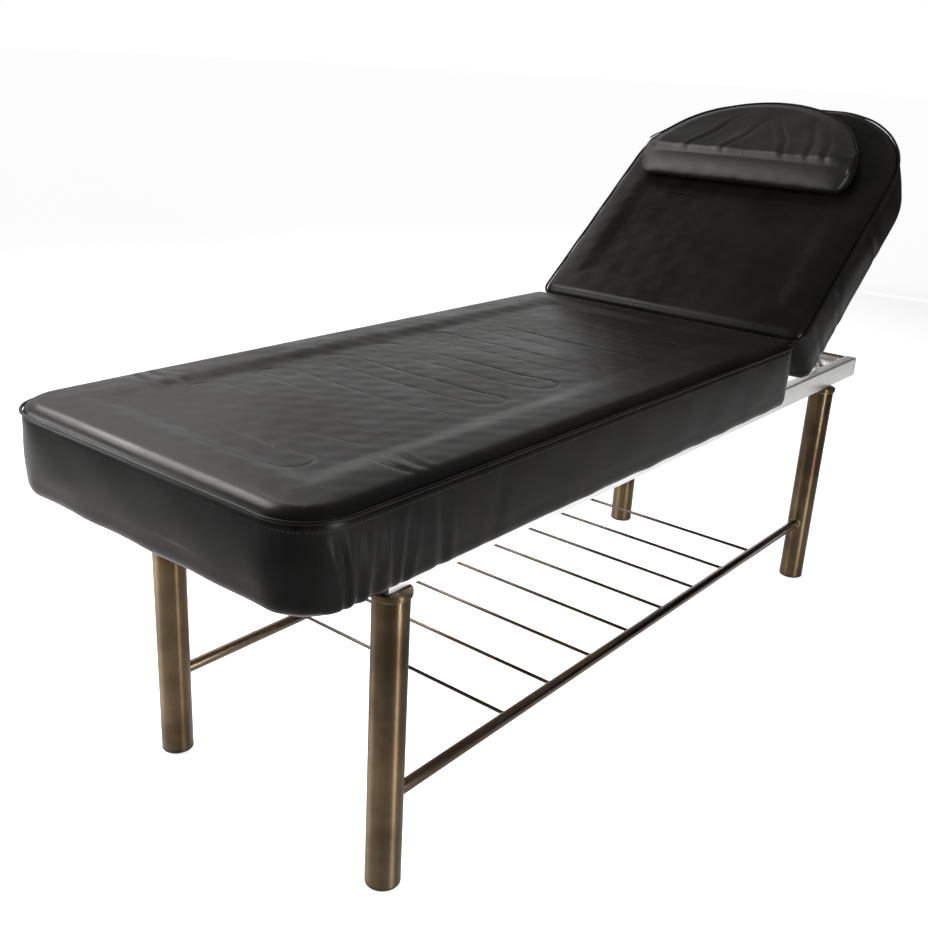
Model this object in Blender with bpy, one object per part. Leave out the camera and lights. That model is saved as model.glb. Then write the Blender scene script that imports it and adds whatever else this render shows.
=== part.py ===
"""Facial bed with a backrest that folds down flat.

A base of stainless tubes stands on four legs and carries a rod shelf. The seat is fixed to it. The
backrest turns on two pins between the cushions and is held up by a prop whose cross bar lies on two
notched racks. Metres, +X from the foot to the head, +Z up, standing on the floor at zero.
"""

import math

import bmesh
import bpy
from mathutils import Vector

# Clearances that every piece shares
GAP = 0.0003
CUT_OVERRUN = 0.004
MERGE = 0.00001

# Base: legs, rails and cross tubes
LEG_SPACING_LONG = 1.390
LEG_SPACING_WIDE = 0.466
LEG_DIAMETER = 0.0508
TUBE_WALL = 0.0015
FRAME_TOP = 0.499
RAIL_HEIGHT = 0.042
RAIL_WIDTH = 0.025
FOOT_OVERHANG = 0.018
HEAD_OVERHANG = 0.149
CROSS_TUBE_X = -0.170
HINGE_TUBE_HEIGHT = 0.020
END_CAP_THICKNESS = 0.003
END_CAP_PLUG = 0.005
CHAMFER = 0.001

# Leg fittings
FLANGE_THICKNESS = 0.008
FLANGE_LIP = 0.003
SPIGOT_DEPTH = 0.014
STUD_DIAMETER = 0.010
STUD_REACH = 0.022
FOOT_CAP_THICKNESS = 0.005

# Shelf
SHELF_HEIGHT = 0.137
SHELF_RAIL_DIAMETER = 0.019
ROD_DIAMETER = 0.006
ROD_RISE = 0.003
ROD_COUNT = 8
ROD_PITCH = 0.1229
ROD_CENTRE_X = 0.010

# Cushions
CUSHION_WIDTH = 0.600
CUSHION_THICKNESS = 0.111
CUSHION_BOTTOM = 0.505
CROWN = 0.010
SIDE_DRAW = 0.004
SIDE_PULL = 0.003
LOWER_ROUND = 0.012
SEAM_ROUND = 0.006
SEAT_FOOT_X = -0.905
SEAT_REAR_X = 0.345
SEAT_FOOT_RADIUS = 0.070
HINGE_CORNER_RADIUS = 0.025
BACK_FRONT_X = 0.372
BACK_LENGTH = 0.655
BACK_HEAD_RADIUS = 0.205
BOARD_INSET = 0.013
BOARD_THICKNESS = 0.015
COVER_THICKNESS_TOP = 0.008

# Backrest hinge
BACK_PIVOT_X = 0.3626
BACK_PIVOT_Z = 0.5936
BACK_REST_ANGLE = math.radians(38.5)
LUG_HALF_WIDTH = 0.0085
LUG_THICKNESS = 0.005
LUG_OFFSET_Y = 0.1658
PLATE_PLAY = 0.0005
PIN_RADIUS = 0.0035
PIN_HEAD_RADIUS = 0.0055
PIN_HEAD_THICKNESS = 0.003
PIN_STICK_OUT = 0.0025
EAR_LENGTH = 0.105
SUBFRAME_SIZE = 0.020
SUBFRAME_LENGTH = 0.360
SUBFRAME_SETBACK = 0.006
SUBFRAME_CROSS_X = 0.700

# Prop and racks
PROP_PIVOT_FROM_HINGE = 0.175
PROP_PIVOT_Z = 0.4915
PROP_LENGTH = 0.250
PROP_FOOT_Z = 0.480
PROP_BAR_RADIUS = 0.006
PROP_BAR_END_PLAY = 0.0005
PROP_ARM_THICKNESS = 0.0049
PROP_ARM_OFFSET_Y = 0.1950
PROP_PIN_RADIUS = 0.003
PROP_BRACKET_THICKNESS = 0.005
PROP_BRACKET_LENGTH = 0.044
RACK_THICKNESS = 0.004
RACK_CLEARANCE = 0.0018
RACK_NOTCH_PITCH = 0.024
RACK_NOTCHES_UP = 3
RACK_NOTCHES_DOWN = 1
RACK_END_MARGIN = 0.014
RACK_LIFT = 0.001

# Head pillow
PILLOW_HEAD_SETBACK = 0.025
PILLOW_HALF_WIDTH = 0.240
PILLOW_DEPTH = 0.245
PILLOW_CORNER_RADIUS = 0.030
PILLOW_FRONT_HEIGHT = 0.056
PILLOW_REAR_HEIGHT = 0.026
PILLOW_CROWN = 0.006
PILLOW_EDGE_ROUND = 0.008
STRIP_LENGTH = 0.300
STRIP_WIDTH = 0.030
STRIP_THICKNESS = 0.002
STRIP_SETBACK = 0.080
STRIP_GAP = 0.0004

# How finely round shapes are cut
TUBE_SIDES = 32
ROD_SIDES = 12
PIN_SIDES = 16
ARC_STEPS = 10
CORNER_STEPS_SMALL = 3
CORNER_STEPS_LARGE = 9
SIDE_STEPS = 7
END_STEPS = 4
CROWN_POWER = 6
CROWN_RING_SHARES = (0.985, 0.94, 0.86, 0.70, 0.42)
PILLOW_RING_SHARES = (0.86, 0.64, 0.34)
STRIP_STATIONS = 9
SMOOTH_UP_TO = math.radians(40)
BRACKET_ARC_START = 200
BRACKET_ARC_END = 340

# Sizes that follow from the driving ones
LEG_X = LEG_SPACING_LONG / 2
LEG_Y = LEG_SPACING_WIDE / 2
LEG_RADIUS = LEG_DIAMETER / 2
RAIL_BOTTOM = FRAME_TOP - RAIL_HEIGHT
RAIL_FOOT_X = -LEG_X - FOOT_OVERHANG
RAIL_HEAD_X = LEG_X + HEAD_OVERHANG
RAIL_INNER_Y = LEG_Y - RAIL_WIDTH / 2
SHELF_RAIL_RADIUS = SHELF_RAIL_DIAMETER / 2
CUSHION_HALF_WIDTH = CUSHION_WIDTH / 2
CUSHION_TOP = CUSHION_BOTTOM + CUSHION_THICKNESS
BACK_HEAD_X = BACK_FRONT_X + BACK_LENGTH
PILLOW_FRONT_X = BACK_HEAD_X - PILLOW_HEAD_SETBACK - PILLOW_DEPTH
BOARD_BOTTOM = FRAME_TOP + GAP
FOAM_TOP = CUSHION_TOP - COVER_THICKNESS_TOP
SUBFRAME_TOP = FRAME_TOP
SUBFRAME_OUTER_Y = LUG_OFFSET_Y - PLATE_PLAY - LUG_THICKNESS - GAP
BACK_PIVOT = Vector((BACK_PIVOT_X, 0, BACK_PIVOT_Z))
PROP_PIVOT = Vector((BACK_PIVOT_X + PROP_PIVOT_FROM_HINGE, 0, PROP_PIVOT_Z))


def turned_about_y(point, pivot, angle):
    """The point after the head side has risen by this angle about a pivot."""
    offset = point - pivot
    along = offset.x * math.cos(angle) - offset.z * math.sin(angle)
    up = offset.x * math.sin(angle) + offset.z * math.cos(angle)
    return Vector((pivot.x + along, point.y, pivot.z + up))


# The prop lies along the backrest when that is flat. At rest its bar is at the racks' height.
PROP_PIVOT_AT_REST = turned_about_y(PROP_PIVOT, BACK_PIVOT, BACK_REST_ANGLE)
PROP_SLOPE_AT_REST = math.asin((PROP_PIVOT_AT_REST.z - PROP_FOOT_Z) / PROP_LENGTH)
PROP_FOLD_AT_REST = BACK_REST_ANGLE + PROP_SLOPE_AT_REST
PROP_FOOT_X = PROP_PIVOT_AT_REST.x + PROP_LENGTH * math.cos(PROP_SLOPE_AT_REST)


def clear_scene():
    for obj in list(bpy.data.objects):
        bpy.data.objects.remove(obj, do_unlink=True)


def new_material(name, colour, roughness, metallic=0.0):
    material = bpy.data.materials.new(name)
    material.use_nodes = True
    shader = material.node_tree.nodes["Principled BSDF"]
    shader.inputs["Base Color"].default_value = (*colour, 1.0)
    shader.inputs["Roughness"].default_value = roughness
    shader.inputs["Metallic"].default_value = metallic
    material.diffuse_color = (*colour, 1.0)
    return material


def new_group(name, pivot, parent=None, parent_pivot=Vector(), turn=0.0):
    """An empty on a joint's axis, turned from the flat position to the rest position."""
    empty = bpy.data.objects.new(name, None)
    bpy.context.scene.collection.objects.link(empty)
    empty.location = pivot - parent_pivot
    empty.rotation_euler.y = turn
    empty.parent = parent
    return empty, pivot


def finish(name, bm, material, group, smooth=False):
    """Makes the object, with its mesh placed about the pivot of the group that carries it."""
    empty, pivot = group
    bmesh.ops.remove_doubles(bm, verts=bm.verts, dist=MERGE)
    bmesh.ops.recalc_face_normals(bm, faces=bm.faces)
    bmesh.ops.translate(bm, verts=bm.verts, vec=-pivot)
    mesh = bpy.data.meshes.new(name)
    bm.to_mesh(mesh)
    bm.free()
    if smooth:
        mesh.shade_smooth()
        mesh.set_sharp_from_angle(angle=SMOOTH_UP_TO)
    obj = bpy.data.objects.new(name, mesh)
    bpy.context.scene.collection.objects.link(obj)
    obj.parent = empty
    obj.data.materials.append(material)
    return obj


def as_cutter(obj):
    obj.hide_render = True
    obj.display_type = "WIRE"
    return obj


def cut(obj, *cutters):
    for cutter in cutters:
        modifier = obj.modifiers.new("cut_" + cutter.name, "BOOLEAN")
        modifier.operation = "DIFFERENCE"
        modifier.solver = "EXACT"
        modifier.object = cutter


def skin(bm, rings, closed=False):
    """Walls between neighbouring rings of points, then a face on each end, or back to the first ring."""
    loops = [[bm.verts.new(point) for point in ring] for ring in rings]
    pairs = list(zip(loops, loops[1:]))
    if closed:
        pairs.append((loops[-1], loops[0]))
    for low, high in pairs:
        for i in range(len(low)):
            j = (i + 1) % len(low)
            bm.faces.new((low[i], low[j], high[j], high[i]))
    if not closed:
        bm.faces.new(loops[0])
        bm.faces.new(loops[-1])


def circle(centre, radius, axis, sides):
    """Points on a circle whose axis is X, Y or Z."""
    others = [k for k in range(3) if k != axis]
    points = []
    for i in range(sides):
        angle = math.tau * i / sides
        point = Vector(centre)
        point[others[0]] += radius * math.cos(angle)
        point[others[1]] += radius * math.sin(angle)
        points.append(point)
    return points


def along(centre, axis, place):
    moved = Vector(centre)
    moved[axis] = place
    return moved


def turned(profile, centre, axis, sides):
    """A solid turned about an axis, from steps of (radius, place along the axis)."""
    bm = bmesh.new()
    skin(bm, [circle(along(centre, axis, place), radius, axis, sides) for radius, place in profile])
    return bm


def round_tube(centre, axis, start, end, radius, wall, sides):
    bm = bmesh.new()
    profile = ((radius, start), (radius, end), (radius - wall, end), (radius - wall, start))
    skin(bm, [circle(along(centre, axis, at), r, axis, sides) for r, at in profile], closed=True)
    return bm


def rectangle(centre, axis, size_a, size_b, place):
    """Corners of a rectangle square to an axis. The sizes run along the other two axes in order."""
    others = [k for k in range(3) if k != axis]
    points = []
    for side_a, side_b in ((-1, -1), (1, -1), (1, 1), (-1, 1)):
        point = along(centre, axis, place)
        point[others[0]] += side_a * size_a / 2
        point[others[1]] += side_b * size_b / 2
        points.append(point)
    return points


def box_tube(centre, axis, start, end, size_a, size_b, wall):
    bm = bmesh.new()
    inner_a = size_a - 2 * wall
    inner_b = size_b - 2 * wall
    steps = ((size_a, size_b, start), (size_a, size_b, end), (inner_a, inner_b, end), (inner_a, inner_b, start))
    skin(bm, [rectangle(centre, axis, a, b, place) for a, b, place in steps], closed=True)
    return bm


def plate(outline, near_y, far_y):
    """An upright plate: an outline in X and Z, between two places across the bed."""
    bm = bmesh.new()
    skin(bm, [[Vector((x, y, z)) for x, z in outline] for y in (near_y, far_y)])
    return bm


def arc(centre_x, centre_y, radius, start, end, steps):
    angles = [math.radians(start + (end - start) * i / steps) for i in range(steps + 1)]
    return [(centre_x + radius * math.cos(a), centre_y + radius * math.sin(a)) for a in angles]


def side_points(start, end, steps, pull):
    """Points between two corners, drawn in towards the middle of the side."""
    across = Vector((start[1] - end[1], end[0] - start[0])).normalized()
    points = []
    for i in range(1, steps):
        share = i / steps
        depth = pull * 4 * share * (1 - share)
        points.append((
            start[0] + (end[0] - start[0]) * share + across.x * depth,
            start[1] + (end[1] - start[1]) * share + across.y * depth,
        ))
    return points


def cushion_outline(low_x, high_x, low_radius, high_radius, inset, pull):
    """A plan outline with round corners, its sides drawn in, set in from the widest line by inset."""
    half = CUSHION_HALF_WIDTH
    low_steps = CORNER_STEPS_LARGE if low_radius > HINGE_CORNER_RADIUS else CORNER_STEPS_SMALL
    high_steps = CORNER_STEPS_LARGE if high_radius > HINGE_CORNER_RADIUS else CORNER_STEPS_SMALL
    low, high = low_radius - inset, high_radius - inset
    corners = (
        arc(high_x - high_radius, -half + high_radius, high, -90, 0, high_steps),
        arc(high_x - high_radius, half - high_radius, high, 0, 90, high_steps),
        arc(low_x + low_radius, half - low_radius, low, 90, 180, low_steps),
        arc(low_x + low_radius, -half + low_radius, low, 180, 270, low_steps),
    )
    points = []
    for i, corner in enumerate(corners):
        following = corners[(i + 1) % len(corners)]
        steps = SIDE_STEPS if i % 2 else END_STEPS
        points += corner + side_points(corner[-1], following[0], steps, pull)
    return points


def at_height(outline, height):
    return [Vector((x, y, height)) for x, y in outline]


def scaled(outline, centre_x, share):
    return [(centre_x + (x - centre_x) * share, y * share) for x, y in outline]


def crown_rise(share):
    """How far the top stands over the seam, at a share of the way out from the middle."""
    return CROWN * (1 - share**CROWN_POWER)


def cushion_cover(low_x, high_x, low_radius, high_radius):
    """The upholstered cover: rounded below, drawn in at the sides, seamed at the top edge, crowned."""
    centre_x = (low_x + high_x) / 2
    middle = (CUSHION_BOTTOM + CUSHION_TOP) / 2
    lower_cut = LOWER_ROUND * (1 - math.sqrt(0.5))
    profile = (
        (LOWER_ROUND, CUSHION_BOTTOM),
        (lower_cut, CUSHION_BOTTOM + lower_cut),
        (0, CUSHION_BOTTOM + LOWER_ROUND),
        (SIDE_DRAW, middle),
        (0, CUSHION_TOP - SEAM_ROUND),
        (SEAM_ROUND, CUSHION_TOP),
    )
    rings = [
        at_height(cushion_outline(low_x, high_x, low_radius, high_radius, inset, SIDE_PULL), height)
        for inset, height in profile
    ]
    seam = cushion_outline(low_x, high_x, low_radius, high_radius, SEAM_ROUND, SIDE_PULL)
    for share in CROWN_RING_SHARES:
        rings.append(at_height(scaled(seam, centre_x, share), CUSHION_TOP + crown_rise(share)))
    bm = bmesh.new()
    skin(bm, rings)
    return bm


def padding_prism(low_x, high_x, low_radius, high_radius, inset, bottom, top):
    outline = cushion_outline(low_x, high_x, low_radius, high_radius, inset, 0)
    bm = bmesh.new()
    skin(bm, [at_height(outline, bottom), at_height(outline, top)])
    return bm


def upholstery(prefix, group, low_x, high_x, low_radius, high_radius, materials):
    """A plywood board, a foam block on it, and the cover pulled over both."""
    plan = (low_x, high_x, low_radius, high_radius)
    board_top = BOARD_BOTTOM + BOARD_THICKNESS
    board = padding_prism(*plan, BOARD_INSET, BOARD_BOTTOM, board_top)
    finish(prefix + "_board", board, materials["plywood"], group)
    foam = padding_prism(*plan, BOARD_INSET, board_top + GAP, FOAM_TOP)
    finish(prefix + "_foam", foam, materials["foam"], group)
    cover = finish(prefix + "_cover", cushion_cover(*plan), materials["leatherette"], group, smooth=True)
    pocket = padding_prism(*plan, BOARD_INSET - GAP, BOARD_BOTTOM - CUT_OVERRUN, FOAM_TOP + GAP)
    cut(cover, as_cutter(finish(prefix + "_pocket", pocket, materials["foam"], group)))


def make_legs(group, materials):
    """Four legs, each with a plastic foot below and a flange with a stud above, and the rails' holes."""
    leg_top = RAIL_BOTTOM - GAP - FLANGE_THICKNESS - GAP
    bore = LEG_RADIUS - TUBE_WALL - GAP
    flange_bottom = leg_top + GAP
    flange_top = flange_bottom + FLANGE_THICKNESS
    for x, lengthwise in ((-LEG_X, "foot"), (LEG_X, "head")):
        for y, side in ((-LEG_Y, "left"), (LEG_Y, "right")):
            name = lengthwise + "_" + side
            centre = (x, y, 0)
            tube = round_tube(centre, 2, FOOT_CAP_THICKNESS + GAP, leg_top, LEG_RADIUS, TUBE_WALL, TUBE_SIDES)
            finish("leg_" + name, tube, materials["steel"], group, smooth=True)
            foot = turned(
                (
                    (LEG_RADIUS - CHAMFER, 0),
                    (LEG_RADIUS, CHAMFER),
                    (LEG_RADIUS, FOOT_CAP_THICKNESS),
                    (bore, FOOT_CAP_THICKNESS),
                    (bore, FOOT_CAP_THICKNESS + SPIGOT_DEPTH),
                ),
                centre, 2, TUBE_SIDES,
            )
            finish("foot_cap_" + name, foot, materials["black_plastic"], group, smooth=True)
            flange = turned(
                (
                    (bore, flange_bottom - SPIGOT_DEPTH),
                    (bore, flange_bottom),
                    (LEG_RADIUS + FLANGE_LIP, flange_bottom),
                    (LEG_RADIUS + FLANGE_LIP, flange_top),
                    (STUD_DIAMETER / 2, flange_top),
                    (STUD_DIAMETER / 2, flange_top + STUD_REACH),
                ),
                centre, 2, TUBE_SIDES,
            )
            finish("leg_flange_" + name, flange, materials["steel"], group, smooth=True)


def rail_end_cap(x, y, outward, name, group, materials):
    """A moulded cap: a plate over the rail's end and a plug inside it."""
    near = x + outward * GAP
    far = near + outward * END_CAP_THICKNESS
    plug = x - outward * END_CAP_PLUG
    play = 2 * (TUBE_WALL + GAP)
    centre = (0, y, RAIL_BOTTOM + RAIL_HEIGHT / 2)
    steps = (
        (RAIL_WIDTH - 2 * CHAMFER, RAIL_HEIGHT - 2 * CHAMFER, far),
        (RAIL_WIDTH, RAIL_HEIGHT, far - outward * CHAMFER),
        (RAIL_WIDTH, RAIL_HEIGHT, near),
        (RAIL_WIDTH - play, RAIL_HEIGHT - play, near),
        (RAIL_WIDTH - play, RAIL_HEIGHT - play, plug),
    )
    bm = bmesh.new()
    skin(bm, [rectangle(centre, 0, a, b, place) for a, b, place in steps])
    finish(name, bm, materials["black_plastic"], group)


def cross_tube(name, x, bottom, height, group, materials):
    half = RAIL_INNER_Y - GAP
    bm = box_tube((x, 0, bottom + height / 2), 1, -half, half, RAIL_WIDTH, height, TUBE_WALL)
    finish(name, bm, materials["steel"], group)


def make_frame(group, materials):
    rail_middle = RAIL_BOTTOM + RAIL_HEIGHT / 2
    for y, side in ((-LEG_Y, "left"), (LEG_Y, "right")):
        bm = box_tube((0, y, rail_middle), 0, RAIL_FOOT_X, RAIL_HEAD_X, RAIL_WIDTH, RAIL_HEIGHT, TUBE_WALL)
        rail = finish("side_rail_" + side, bm, materials["bright_steel"], group)
        for x, end in ((-LEG_X, "foot"), (LEG_X, "head")):
            hole = turned(
                ((STUD_DIAMETER / 2 + GAP, RAIL_BOTTOM - CUT_OVERRUN),
                 (STUD_DIAMETER / 2 + GAP, RAIL_BOTTOM + TUBE_WALL + CUT_OVERRUN)),
                (x, y, 0), 2, PIN_SIDES,
            )
            cut(rail, as_cutter(finish("stud_hole_" + end + "_" + side, hole, materials["steel"], group)))
        rail_end_cap(RAIL_FOOT_X, y, -1, "rail_cap_foot_" + side, group, materials)
        rail_end_cap(RAIL_HEAD_X, y, 1, "rail_cap_head_" + side, group, materials)
    end_offset = RAIL_WIDTH / 2
    cross_tube("end_rail_foot", RAIL_FOOT_X + end_offset, RAIL_BOTTOM, RAIL_HEIGHT, group, materials)
    cross_tube("end_rail_head", RAIL_HEAD_X - end_offset, RAIL_BOTTOM, RAIL_HEIGHT, group, materials)
    cross_tube("middle_cross_tube", CROSS_TUBE_X, RAIL_BOTTOM, RAIL_HEIGHT, group, materials)
    cross_tube("hinge_cross_tube", BACK_PIVOT_X, RAIL_BOTTOM, HINGE_TUBE_HEIGHT, group, materials)


def make_shelf(group, materials):
    """Two round rails between the legs, coped to them, and thin rods across, coped to the rails."""
    leg_shapes = {}
    for x in (-LEG_X, LEG_X):
        for y, side in ((-LEG_Y, "left"), (LEG_Y, "right")):
            span = SHELF_RAIL_DIAMETER
            bm = turned(
                ((LEG_RADIUS + GAP, SHELF_HEIGHT - span), (LEG_RADIUS + GAP, SHELF_HEIGHT + span)),
                (x, y, 0), 2, TUBE_SIDES,
            )
            name = "leg_shape_" + side + ("_foot" if x < 0 else "_head")
            leg_shapes.setdefault(side, []).append(as_cutter(finish(name, bm, materials["steel"], group)))
    rail_shapes = []
    for y, side in ((-LEG_Y, "left"), (LEG_Y, "right")):
        centre = (0, y, SHELF_HEIGHT)
        bm = round_tube(centre, 0, -LEG_X, LEG_X, SHELF_RAIL_RADIUS, TUBE_WALL, TUBE_SIDES // 2)
        rail = finish("shelf_rail_" + side, bm, materials["steel"], group, smooth=True)
        cut(rail, *leg_shapes[side])
        outer = SHELF_RAIL_RADIUS + GAP
        shape = turned(((outer, -LEG_X), (outer, LEG_X)), centre, 0, TUBE_SIDES // 2)
        rail_shapes.append(as_cutter(finish("rail_shape_" + side, shape, materials["steel"], group)))
    for i in range(ROD_COUNT):
        x = ROD_CENTRE_X + (i - (ROD_COUNT - 1) / 2) * ROD_PITCH
        centre = (x, 0, SHELF_HEIGHT + ROD_RISE)
        bm = turned(((ROD_DIAMETER / 2, -LEG_Y), (ROD_DIAMETER / 2, LEG_Y)), centre, 1, ROD_SIDES)
        rod = finish("shelf_rod_%d" % (i + 1), bm, materials["steel"], group, smooth=True)
        cut(rod, *rail_shapes)


def bore_shape(name, group, centre, radius, near_y, far_y, materials):
    bm = turned(((radius, near_y - CUT_OVERRUN), (radius, far_y + CUT_OVERRUN)), centre, 1, PIN_SIDES)
    return as_cutter(finish(name, bm, materials["steel"], group))


def headed_pin(name, group, centre, radius, head_radius, tip_y, head_y, materials):
    """A pin across the bed, with its head on the outer side."""
    outward = 1 if head_y > tip_y else -1
    bm = turned(
        (
            (radius, tip_y),
            (radius, head_y),
            (head_radius, head_y),
            (head_radius, head_y + outward * PIN_HEAD_THICKNESS),
        ),
        centre, 1, PIN_SIDES,
    )
    finish(name, bm, materials["zinc"], group, smooth=True)


def make_back_hinge(base, back, materials):
    """Lugs on the hinge cross tube, ears on the backrest, and the pins through both."""
    lug_bottom = RAIL_BOTTOM + HINGE_TUBE_HEIGHT + GAP
    ear_bottom = SUBFRAME_TOP - SUBFRAME_SIZE
    low_x = BACK_PIVOT_X - LUG_HALF_WIDTH
    high_x = BACK_PIVOT_X + LUG_HALF_WIDTH
    head = arc(BACK_PIVOT_X, BACK_PIVOT_Z, LUG_HALF_WIDTH, 0, 180, ARC_STEPS)
    lug = [(low_x, lug_bottom), (high_x, lug_bottom)] + head
    ear = [
        (low_x, ear_bottom), (low_x + EAR_LENGTH, ear_bottom),
        (low_x + EAR_LENGTH, SUBFRAME_TOP - PLATE_PLAY), (high_x, SUBFRAME_TOP - PLATE_PLAY),
    ] + head
    for side, name in ((-1, "left"), (1, "right")):
        lug_outer = side * (LUG_OFFSET_Y + LUG_THICKNESS)
        lug_inner = side * LUG_OFFSET_Y
        ear_outer = side * (LUG_OFFSET_Y - PLATE_PLAY)
        ear_inner = side * (LUG_OFFSET_Y - PLATE_PLAY - LUG_THICKNESS)
        near, far = sorted((ear_inner, lug_outer))
        hole = bore_shape("hinge_hole_" + name, base, BACK_PIVOT, PIN_RADIUS + GAP, near, far, materials)
        cut(finish("hinge_lug_" + name, plate(lug, lug_inner, lug_outer), materials["zinc"], base), hole)
        cut(finish("hinge_ear_" + name, plate(ear, ear_inner, ear_outer), materials["zinc"], back), hole)
        tip = ear_inner - side * PIN_STICK_OUT
        head_y = lug_outer + side * GAP
        headed_pin("hinge_pin_" + name, base, BACK_PIVOT, PIN_RADIUS, PIN_HEAD_RADIUS, tip, head_y, materials)


def make_subframe(back, materials):
    """Square tubes under the backrest's board, which join its hinge ears."""
    middle = SUBFRAME_TOP - SUBFRAME_SIZE / 2
    start = BACK_FRONT_X + SUBFRAME_SETBACK
    for side, name in ((-1, "left"), (1, "right")):
        centre = (0, side * (SUBFRAME_OUTER_Y - SUBFRAME_SIZE / 2), middle)
        bm = box_tube(centre, 0, start, start + SUBFRAME_LENGTH, SUBFRAME_SIZE, SUBFRAME_SIZE, TUBE_WALL)
        finish("back_subframe_" + name, bm, materials["zinc"], back)
    half = SUBFRAME_OUTER_Y - SUBFRAME_SIZE - GAP
    bm = box_tube((SUBFRAME_CROSS_X, 0, middle), 1, -half, half, SUBFRAME_SIZE, SUBFRAME_SIZE, TUBE_WALL)
    finish("back_subframe_cross", bm, materials["zinc"], back)


def make_prop(back, prop, materials):
    """Two arms on pins under the backrest and the cross bar that they hold."""
    foot_x = PROP_PIVOT.x + PROP_LENGTH
    foot = Vector((foot_x, 0, PROP_PIVOT.z))
    bar_half = RAIL_INNER_Y - PROP_BAR_END_PLAY
    bm = turned(((PROP_BAR_RADIUS, -bar_half), (PROP_BAR_RADIUS, bar_half)), foot, 1, PIN_SIDES)
    finish("prop_bar", bm, materials["zinc"], prop, smooth=True)
    bar_shape = bore_shape("bar_shape", prop, foot, PROP_BAR_RADIUS + GAP, -bar_half, bar_half, materials)
    arm = arc(PROP_PIVOT.x, PROP_PIVOT.z, PROP_BAR_RADIUS, 90, 270, ARC_STEPS)
    arm += [(foot_x, PROP_PIVOT.z - PROP_BAR_RADIUS), (foot_x, PROP_PIVOT.z + PROP_BAR_RADIUS)]
    bracket_half = PROP_BRACKET_LENGTH / 2
    bracket = [
        (PROP_PIVOT.x - bracket_half, SUBFRAME_TOP),
        (PROP_PIVOT.x - bracket_half, SUBFRAME_TOP - PROP_BAR_RADIUS),
    ] + arc(PROP_PIVOT.x, PROP_PIVOT.z, PROP_BAR_RADIUS, BRACKET_ARC_START, BRACKET_ARC_END, ARC_STEPS) + [
        (PROP_PIVOT.x + bracket_half, SUBFRAME_TOP - PROP_BAR_RADIUS),
        (PROP_PIVOT.x + bracket_half, SUBFRAME_TOP),
    ]
    for side, name in ((-1, "left"), (1, "right")):
        arm_inner = side * PROP_ARM_OFFSET_Y
        arm_outer = side * (PROP_ARM_OFFSET_Y + PROP_ARM_THICKNESS)
        bracket_outer = side * (PROP_ARM_OFFSET_Y - PLATE_PLAY)
        bracket_inner = side * (PROP_ARM_OFFSET_Y - PLATE_PLAY - PROP_BRACKET_THICKNESS)
        near, far = sorted((bracket_inner, arm_outer))
        hole = bore_shape("prop_hole_" + name, back, PROP_PIVOT, PROP_PIN_RADIUS + GAP, near, far, materials)
        arm_obj = finish("prop_arm_" + name, plate(arm, arm_inner, arm_outer), materials["zinc"], prop)
        cut(arm_obj, hole, bar_shape)
        bracket_obj = plate(bracket, bracket_inner, bracket_outer)
        cut(finish("prop_bracket_" + name, bracket_obj, materials["zinc"], back), hole)
        tip = bracket_inner - side * PIN_STICK_OUT
        head_radius = PROP_PIN_RADIUS + PIN_STICK_OUT
        head_y = arm_outer + side * GAP
        headed_pin("prop_pin_" + name, back, PROP_PIVOT, PROP_PIN_RADIUS, head_radius, tip, head_y, materials)


def make_racks(base, materials):
    """Notched plates inside the side rails. The prop's bar passes just over their tips."""
    tips = PROP_FOOT_Z - PROP_BAR_RADIUS - RACK_CLEARANCE
    notch_radius = PROP_BAR_RADIUS + PLATE_PLAY
    bottom = RAIL_BOTTOM + RACK_LIFT
    first = PROP_FOOT_X - RACK_NOTCHES_UP * RACK_NOTCH_PITCH
    notches = [first + i * RACK_NOTCH_PITCH for i in range(RACK_NOTCHES_UP + RACK_NOTCHES_DOWN + 1)]
    start = notches[0] - RACK_END_MARGIN
    end = notches[-1] + RACK_END_MARGIN
    outline = [(end, tips), (end, bottom), (start, bottom), (start, tips)]
    for x in notches:
        outline += arc(x, tips, notch_radius, 180, 360, ARC_STEPS)
    for side, name in ((-1, "left"), (1, "right")):
        outer = side * (RAIL_INNER_Y - GAP)
        inner = outer - side * RACK_THICKNESS
        finish("prop_rack_" + name, plate(outline, inner, outer), materials["bright_steel"], base)


def back_crown_height(x, y):
    """Height of the backrest cover's crown at a place, from how far out it is towards the seam."""
    seam = cushion_outline(
        BACK_FRONT_X, BACK_HEAD_X, HINGE_CORNER_RADIUS, BACK_HEAD_RADIUS, SEAM_ROUND, SIDE_PULL
    )
    centre_x = (BACK_FRONT_X + BACK_HEAD_X) / 2
    way = Vector((x - centre_x, y))
    share = 0.0
    for start, end in zip(seam, seam[1:] + seam[:1]):
        a = Vector((start[0] - centre_x, start[1]))
        edge = Vector((end[0] - centre_x, end[1])) - a
        across = edge.x * way.y - edge.y * way.x
        if across == 0:
            continue
        reach = (edge.x * a.y - edge.y * a.x) / across
        place = (way.x * a.y - way.y * a.x) / across
        if reach > 0 and 0 <= place <= 1:
            share = 1 / reach
    return CUSHION_TOP + crown_rise(share)


def pillow_outline(inset):
    """A half-moon: a straight front with small round corners and a half ellipse behind."""
    front = PILLOW_FRONT_X + inset
    half = PILLOW_HALF_WIDTH - inset
    radius = PILLOW_CORNER_RADIUS - inset
    turn_x = front + radius
    points = []
    for i in range(2 * CORNER_STEPS_LARGE + 1):
        angle = -math.pi / 2 + math.pi * i / (2 * CORNER_STEPS_LARGE)
        reach = PILLOW_DEPTH - inset - radius
        points.append((turn_x + reach * math.cos(angle), half * math.sin(angle)))
    points += arc(turn_x, half - radius, radius, 90, 180, CORNER_STEPS_SMALL)[1:]
    last = points[-1]
    points += [(front, last[1] * (1 - 2 * i / SIDE_STEPS)) for i in range(1, SIDE_STEPS)]
    points += arc(turn_x, -half + radius, radius, 180, 270, CORNER_STEPS_SMALL)[:-1]
    return points


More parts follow.
